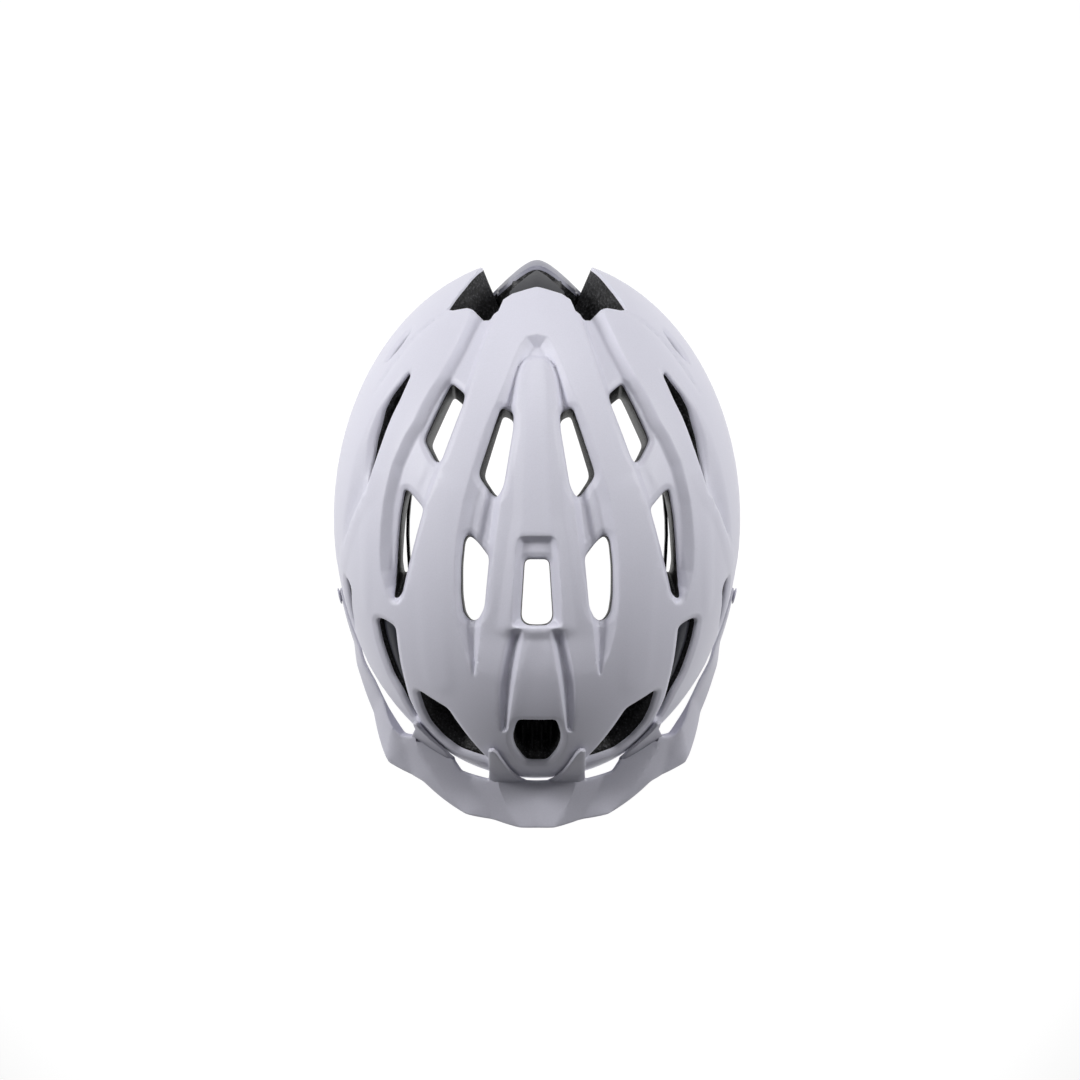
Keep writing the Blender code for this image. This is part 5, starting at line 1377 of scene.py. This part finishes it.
def build_pads():
    for name, outline in pad_outlines().items():
        obj = stuffed(name)
        outline = rounded(outline, PAD_ROUND)
        press_channel(obj, pad_middle(inset(outline, CHANNEL_IN)) * MM)
        smooth = obj.modifiers.new("smooth", "SUBSURF")
        smooth.levels = smooth.render_levels = 1
        freeze(obj)
        obj.data.materials.clear()
        obj.data.materials.append(LOOK["pad"])
        obj.data.shade_smooth()
        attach(obj, "helmet")
        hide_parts(name)
        binding = bound_edge(name.replace("pad", "binding"), pad_middle(spaced(outline, 3.0)))
        binding.parent = obj
        binding.matrix_parent_inverse.identity()


# ---------------------------------------------------------------- webbing

WEB_WIDTH = 15.0
WEB_THICKNESS = 1.2
FRONT_ANCHOR = (-84.0, -50.0)
REAR_ANCHOR = (-80.0, 50.0)
DIVIDER_AT = (-80.5, -37.5, -70.0)
BUCKLE_AT = (0.0, -80.0, -160.0)
STRAP_END = 27.0
ANCHOR_DROP = 6.6
FACE_STEPS = 6
# The strip's faces thin out from this share of the half width, down by this share.
EDGE_FROM, EDGE_THINNING = 0.93, 0.75


def smooth_path(knots, per):
    """Points along a curve through the knots, so many to each stretch."""
    out = []
    k = [Vector(p) for p in knots]
    for i in range(len(k) - 1):
        a, b = k[max(i - 1, 0)], k[i]
        c, d = k[i + 1], k[min(i + 2, len(k) - 1)]
        for j in range(per):
            t = j / per
            out.append(0.5 * ((2 * b) + (c - a) * t + (2 * a - 5 * b + 4 * c - d) * t * t
                              + (3 * b - a - 3 * c + d) * t ** 3))
    out.append(k[-1])
    return out


def rim_height(x, y):
    a = math.degrees(math.acos(-(y / HALF_LENGTH) / math.hypot(x / HALF_WIDTH, y / HALF_LENGTH)))
    return height_on(RIM, a)


def flipped(points, side):
    return [(x * (1 if side == "left" else -1), y, z) for x, y, z in points]


def woven_strip(path, up):
    """Points round a strip, ring by ring, with flat faces and edges that thin out; and the
    lengthways and crossways position of each point."""
    across = [math.cos(math.pi * i / FACE_STEPS) for i in range(FACE_STEPS + 1)]
    verts, place = [], []
    run = 0.0
    for i, p in enumerate(path):
        tangent = (path[min(i + 1, len(path) - 1)] - path[max(i - 1, 0)]).normalized()
        w = (up[i] - tangent * up[i].dot(tangent)).normalized()
        n = tangent.cross(w).normalized()
        for sign in (1, -1):
            for u in across[::sign]:
                edge = 1 - EDGE_THINNING * max(0.0, (abs(u) - EDGE_FROM) / (1 - EDGE_FROM))
                verts.append(p + w * (u * WEB_WIDTH / 2) + n * (sign * edge * WEB_THICKNESS / 2))
                place.append((run, u * WEB_WIDTH / 2, 0.0))
        if i:
            run += (p - path[i - 1]).length
    return verts, place


def web(name, knots, widths, body, stands_for, per=14):
    """Strip of webbing through the knots, its width turned along a row of directions."""
    path = smooth_path(knots, per)
    up = []
    for i in range(len(path)):
        t = i / (len(path) - 1) * (len(widths) - 1)
        k = min(int(t), len(widths) - 2)
        up.append(Vector(widths[k]).lerp(Vector(widths[k + 1]), t - k))
    verts, place = woven_strip(path, up)
    faces = ring_faces(len(path), 2 * (FACE_STEPS + 1))
    obj = piece(name, verts, faces, "webbing", body, [stands_for], 60.0)
    strip = obj.data.attributes.new("strip", "FLOAT_VECTOR", "POINT")
    strip.data.foreach_set("vector", np.asarray(place).ravel())
    return obj, path, up


# Lines of a box stitch with its cross, as shares of its length and half width.
STITCH_LINES = [((0, -1), (1, -1)), ((0, 1), (1, 1)), ((0, -1), (0, 1)), ((1, -1), (1, 1)),
                ((0, -1), (1, 1)), ((0, 1), (1, -1))]
STITCH_FIRST, STITCH_LAST = 2, 12
STITCH_HALF = 0.36 * WEB_WIDTH
STITCHES = 6
STITCH_PAUSE = 0.14
STITCH_LIFT = 0.12
THREAD_HALF_WIDTH = 0.28
THREAD_HALF_HEIGHT = 0.22


def box_stitch(name, path, up):
    """Thread on both faces of a strap end, each stitch a flat double pyramid."""
    verts, faces = [], []

    def at(t, u, side):
        run = STITCH_FIRST + t * (STITCH_LAST - STITCH_FIRST)
        i = min(int(run), len(path) - 2)
        tangent = (path[i + 1] - path[i]).normalized()
        w = (up[i] - tangent * up[i].dot(tangent)).normalized()
        n = tangent.cross(w).normalized()
        out = side * (0.5 * WEB_THICKNESS + STITCH_LIFT)
        return path[i].lerp(path[i + 1], run - i) + w * (u * STITCH_HALF) + n * out, n

    for (t0, u0), (t1, u1) in STITCH_LINES:
        for k in range(STITCHES):
            a, b = (k + STITCH_PAUSE) / STITCHES, (k + 1 - STITCH_PAUSE) / STITCHES
            for side in (1, -1):
                p, n = at(t0 + (t1 - t0) * a, u0 + (u1 - u0) * a, side)
                q, _ = at(t0 + (t1 - t0) * b, u0 + (u1 - u0) * b, side)
                s = (q - p).normalized().cross(n) * THREAD_HALF_WIDTH
                lift = n * (side * THREAD_HALF_HEIGHT)
                mid = (p + q) / 2
                base = len(verts)
                verts += [p, mid + s, q, mid - s, mid + lift, mid - lift]
                for i in range(4):
                    j = (i + 1) % 4
                    faces += [(base + i, base + j, base + 4), (base + j, base + i, base + 5)]
    piece(name, verts, faces, "thread", "helmet")


def build_webbing():
    level = [(0, 1, 0), (0, 1, 0)]
    dx, dy, dz = DIVIDER_AT
    bx, by, bz = BUCKLE_AT
    fz = rim_height(*FRONT_ANCHOR) - ANCHOR_DROP
    rz = rim_height(*REAR_ANCHOR) - ANCHOR_DROP
    front = [(*FRONT_ANCHOR, fz - 0.8), (-83.0, -48.0, fz - 18),
             (-81.5, -44.5, -42.0), (dx, dy - 6.0, dz + 9.0), (dx, dy - 6.0, dz + 1.0)]
    rear = [(*REAR_ANCHOR, rz - 0.8), (-80.1, 48.2, rz - 6.5),
            (-80.4, 40.0, rz - 13.5), (-80.8, 12.0, -38.0), (dx, dy + 13.0, dz + 9.5)]
    chin = [(dx, dy - 6.0, dz + 0.4), (dx, dy - 6.0, dz - 10.6), (-79.0, -45.0, -97.0),
            (-70.0, -58.0, -124.0), (-50.0, -71.0, -147.0), (bx - STRAP_END - 10, by, bz + 0.6),
            (bx - STRAP_END, by, bz)]
    turn = [(0, 1, 0), (0, 1, 0), (0, 1, -0.1), (0, 1, 0), (0, 1, 0)]
    for side in ("left", "right"):
        for where, knots, per in (("front", front, 14), ("rear", rear, 20)):
            _, path, up = web(f"web_{where}_{side}", flipped(knots, side), level, "helmet",
                              f"{where}_strap_{side}", per)
            box_stitch(f"stitch_{where}_{side}", path, up)
    web("web_chin_left", flipped(chin, "left"), turn, "helmet", "chin_strap_left")
    right, _, _ = web("web_chin_right", flipped(chin, "right"), turn, None, "chin_strap_right")
    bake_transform(right)


# ---------------------------------------------------------------- fit system

DIAL_AT = (0.0, 80.0, -42.0)
DIAL_STEPS = 144
DIAL_GRIPS = 24
GRIP_DEPTH = 0.55
GRIP_FROM = 13.0
# Radius and height from the hollow of the hub, over the grip, to the middle of the face.
DIAL_PROFILE = [(2.4, 1.0), (2.4, 3.9), (9.0, 3.9), (9.0, 2.0), (13.2, 2.0), (14.0, 2.6),
                (14.2, 3.4), (14.2, 8.0), (13.6, 9.0), (12.4, 9.4), (11.6, 9.4), (11.2, 8.9),
                (7.2, 8.6), (6.6, 9.2), (5.4, 9.3), (4.7, 8.9), (4.7, 7.7)]


def build_dial():
    """Dial face with finger grips, over its CAD hub."""
    x0, y0, z0 = DIAL_AT
    verts = []
    for r, h in DIAL_PROFILE:
        for k in range(DIAL_STEPS):
            a = 2 * math.pi * k / DIAL_STEPS
            grip = 0.5 * GRIP_DEPTH * (1 - math.cos(DIAL_GRIPS * a)) if r > GRIP_FROM else 0.0
            verts.append((x0 + (r - grip) * math.cos(a), y0 + h, z0 + (r - grip) * math.sin(a)))
    faces = [face[::-1] for face in ring_faces(len(DIAL_PROFILE), DIAL_STEPS)]
    piece("dial_grip", verts, faces, "dial", "dial", ["fit_dial"], 32.0)


def both_names(*stems):
    return [stem + side for stem in stems for side in ("_left", "_right")]


KEPT = {
    "visor_white": both_names("visor_stud"),
    "black_plastic": ["arm_rail", "height_arm", "dial_housing", "nape_yoke", "strap_keeper",
                      "buckle_female", "buckle_male", "buckle_prong_front", "buckle_prong_rear"]
                     + both_names("temple_anchor", "strap_anchor_front", "strap_anchor_rear",
                                  "divider", "divider_lever", "belt"),
    "pinion": ["dial_pinion"],
    "steel": ["dial_screw", "click_spring"],
}


def finish_kept():
    """Better materials on the CAD pieces that stay, with eased edges."""
    for look, names in KEPT.items():
        for name in names:
            obj = frame["nodes"][name]
            obj.data.materials.clear()
            obj.data.materials.append(LOOK[look])
            bevel = obj.modifiers.new("eased", "BEVEL")
            bevel.width = 0.00025
            bevel.segments = 2
            bevel.limit_method = "ANGLE"
            bevel.angle_limit = math.radians(40)
            bevel.harden_normals = False


# ---------------------------------------------------------------- stage, in metres

CAMERA_AT = (0.0016, -0.012, 0.025 + 1.630)
FLOOR_Z = -0.172
FLOOR_HALF = 6.0
AIM = (0, 0, 0.04)
# Name, side, power and place of each square lamp.
LAMPS = [("key_left", 0.45, 15.0, (-1.35, 0.5, 0.75)), ("key_right", 0.45, 11.5, (1.35, 0.5, 0.75)),
         ("rear", 0.6, 9.0, (0.0, 1.25, 1.25)), ("top", 1.0, 1.5, (0.0, 0.2, 1.9))]


def add_camera():
    camera = in_scene("camera", bpy.data.cameras.new("camera"))
    camera.data.lens = 100.0
    camera.data.sensor_width = 36.0
    camera.location = CAMERA_AT
    bpy.context.scene.camera = camera


def add_lamp(name, size, power, place):
    lamp = in_scene(name, bpy.data.lights.new(name, "AREA"))
    lamp.data.shape = "RECTANGLE"
    lamp.data.size = lamp.data.size_y = size
    lamp.data.energy = power
    lamp.location = place
    lamp.rotation_euler = (Vector(AIM) - Vector(place)).to_track_quat("-Z", "Y").to_euler()


def add_floor():
    """White floor that glows round the object and falls off to the sides."""
    mesh = bpy.data.meshes.new("floor")
    corners = [(-1, -1), (1, -1), (1, 1), (-1, 1)]
    mesh.from_pydata([(x * FLOOR_HALF, y * FLOOR_HALF, FLOOR_Z) for x, y in corners], [],
                     [(0, 1, 2, 3)])
    m, tree, inputs = base_material("floor", 0.9, Emission_Strength=0.95)
    where = object_space(tree)
    feed(inputs["Base Color"], ramp_node(tree, noise_of(tree, where, 3.0), (0.3, 0.1), (0.7, 0.11)))
    radius = node(tree, "ShaderNodeVectorMath", {"operation": "LENGTH"})
    feed(radius.inputs[0], where)
    feed(inputs["Emission Color"],
         ramp_node(tree, radius.outputs["Value"], (0.46, 1.0), (0.8, 0.4)))
    mesh.materials.append(m)
    in_scene("floor", mesh)


def build_stage():
    add_floor()
    bpy.context.scene.view_settings.view_transform = "Standard"
    world = bpy.data.worlds.new("studio")
    world.use_nodes = True
    background = world.node_tree.nodes["Background"].inputs
    background["Color"].default_value = (0.95, 0.96, 1.0, 1)
    background["Strength"].default_value = 0.08
    bpy.context.scene.world = world
    for lamp in LAMPS:
        add_lamp(*lamp)


build_shells()
build_inserts()
build_visor()
build_pads()
build_webbing()
build_dial()
finish_kept()
build_stage()
add_camera()
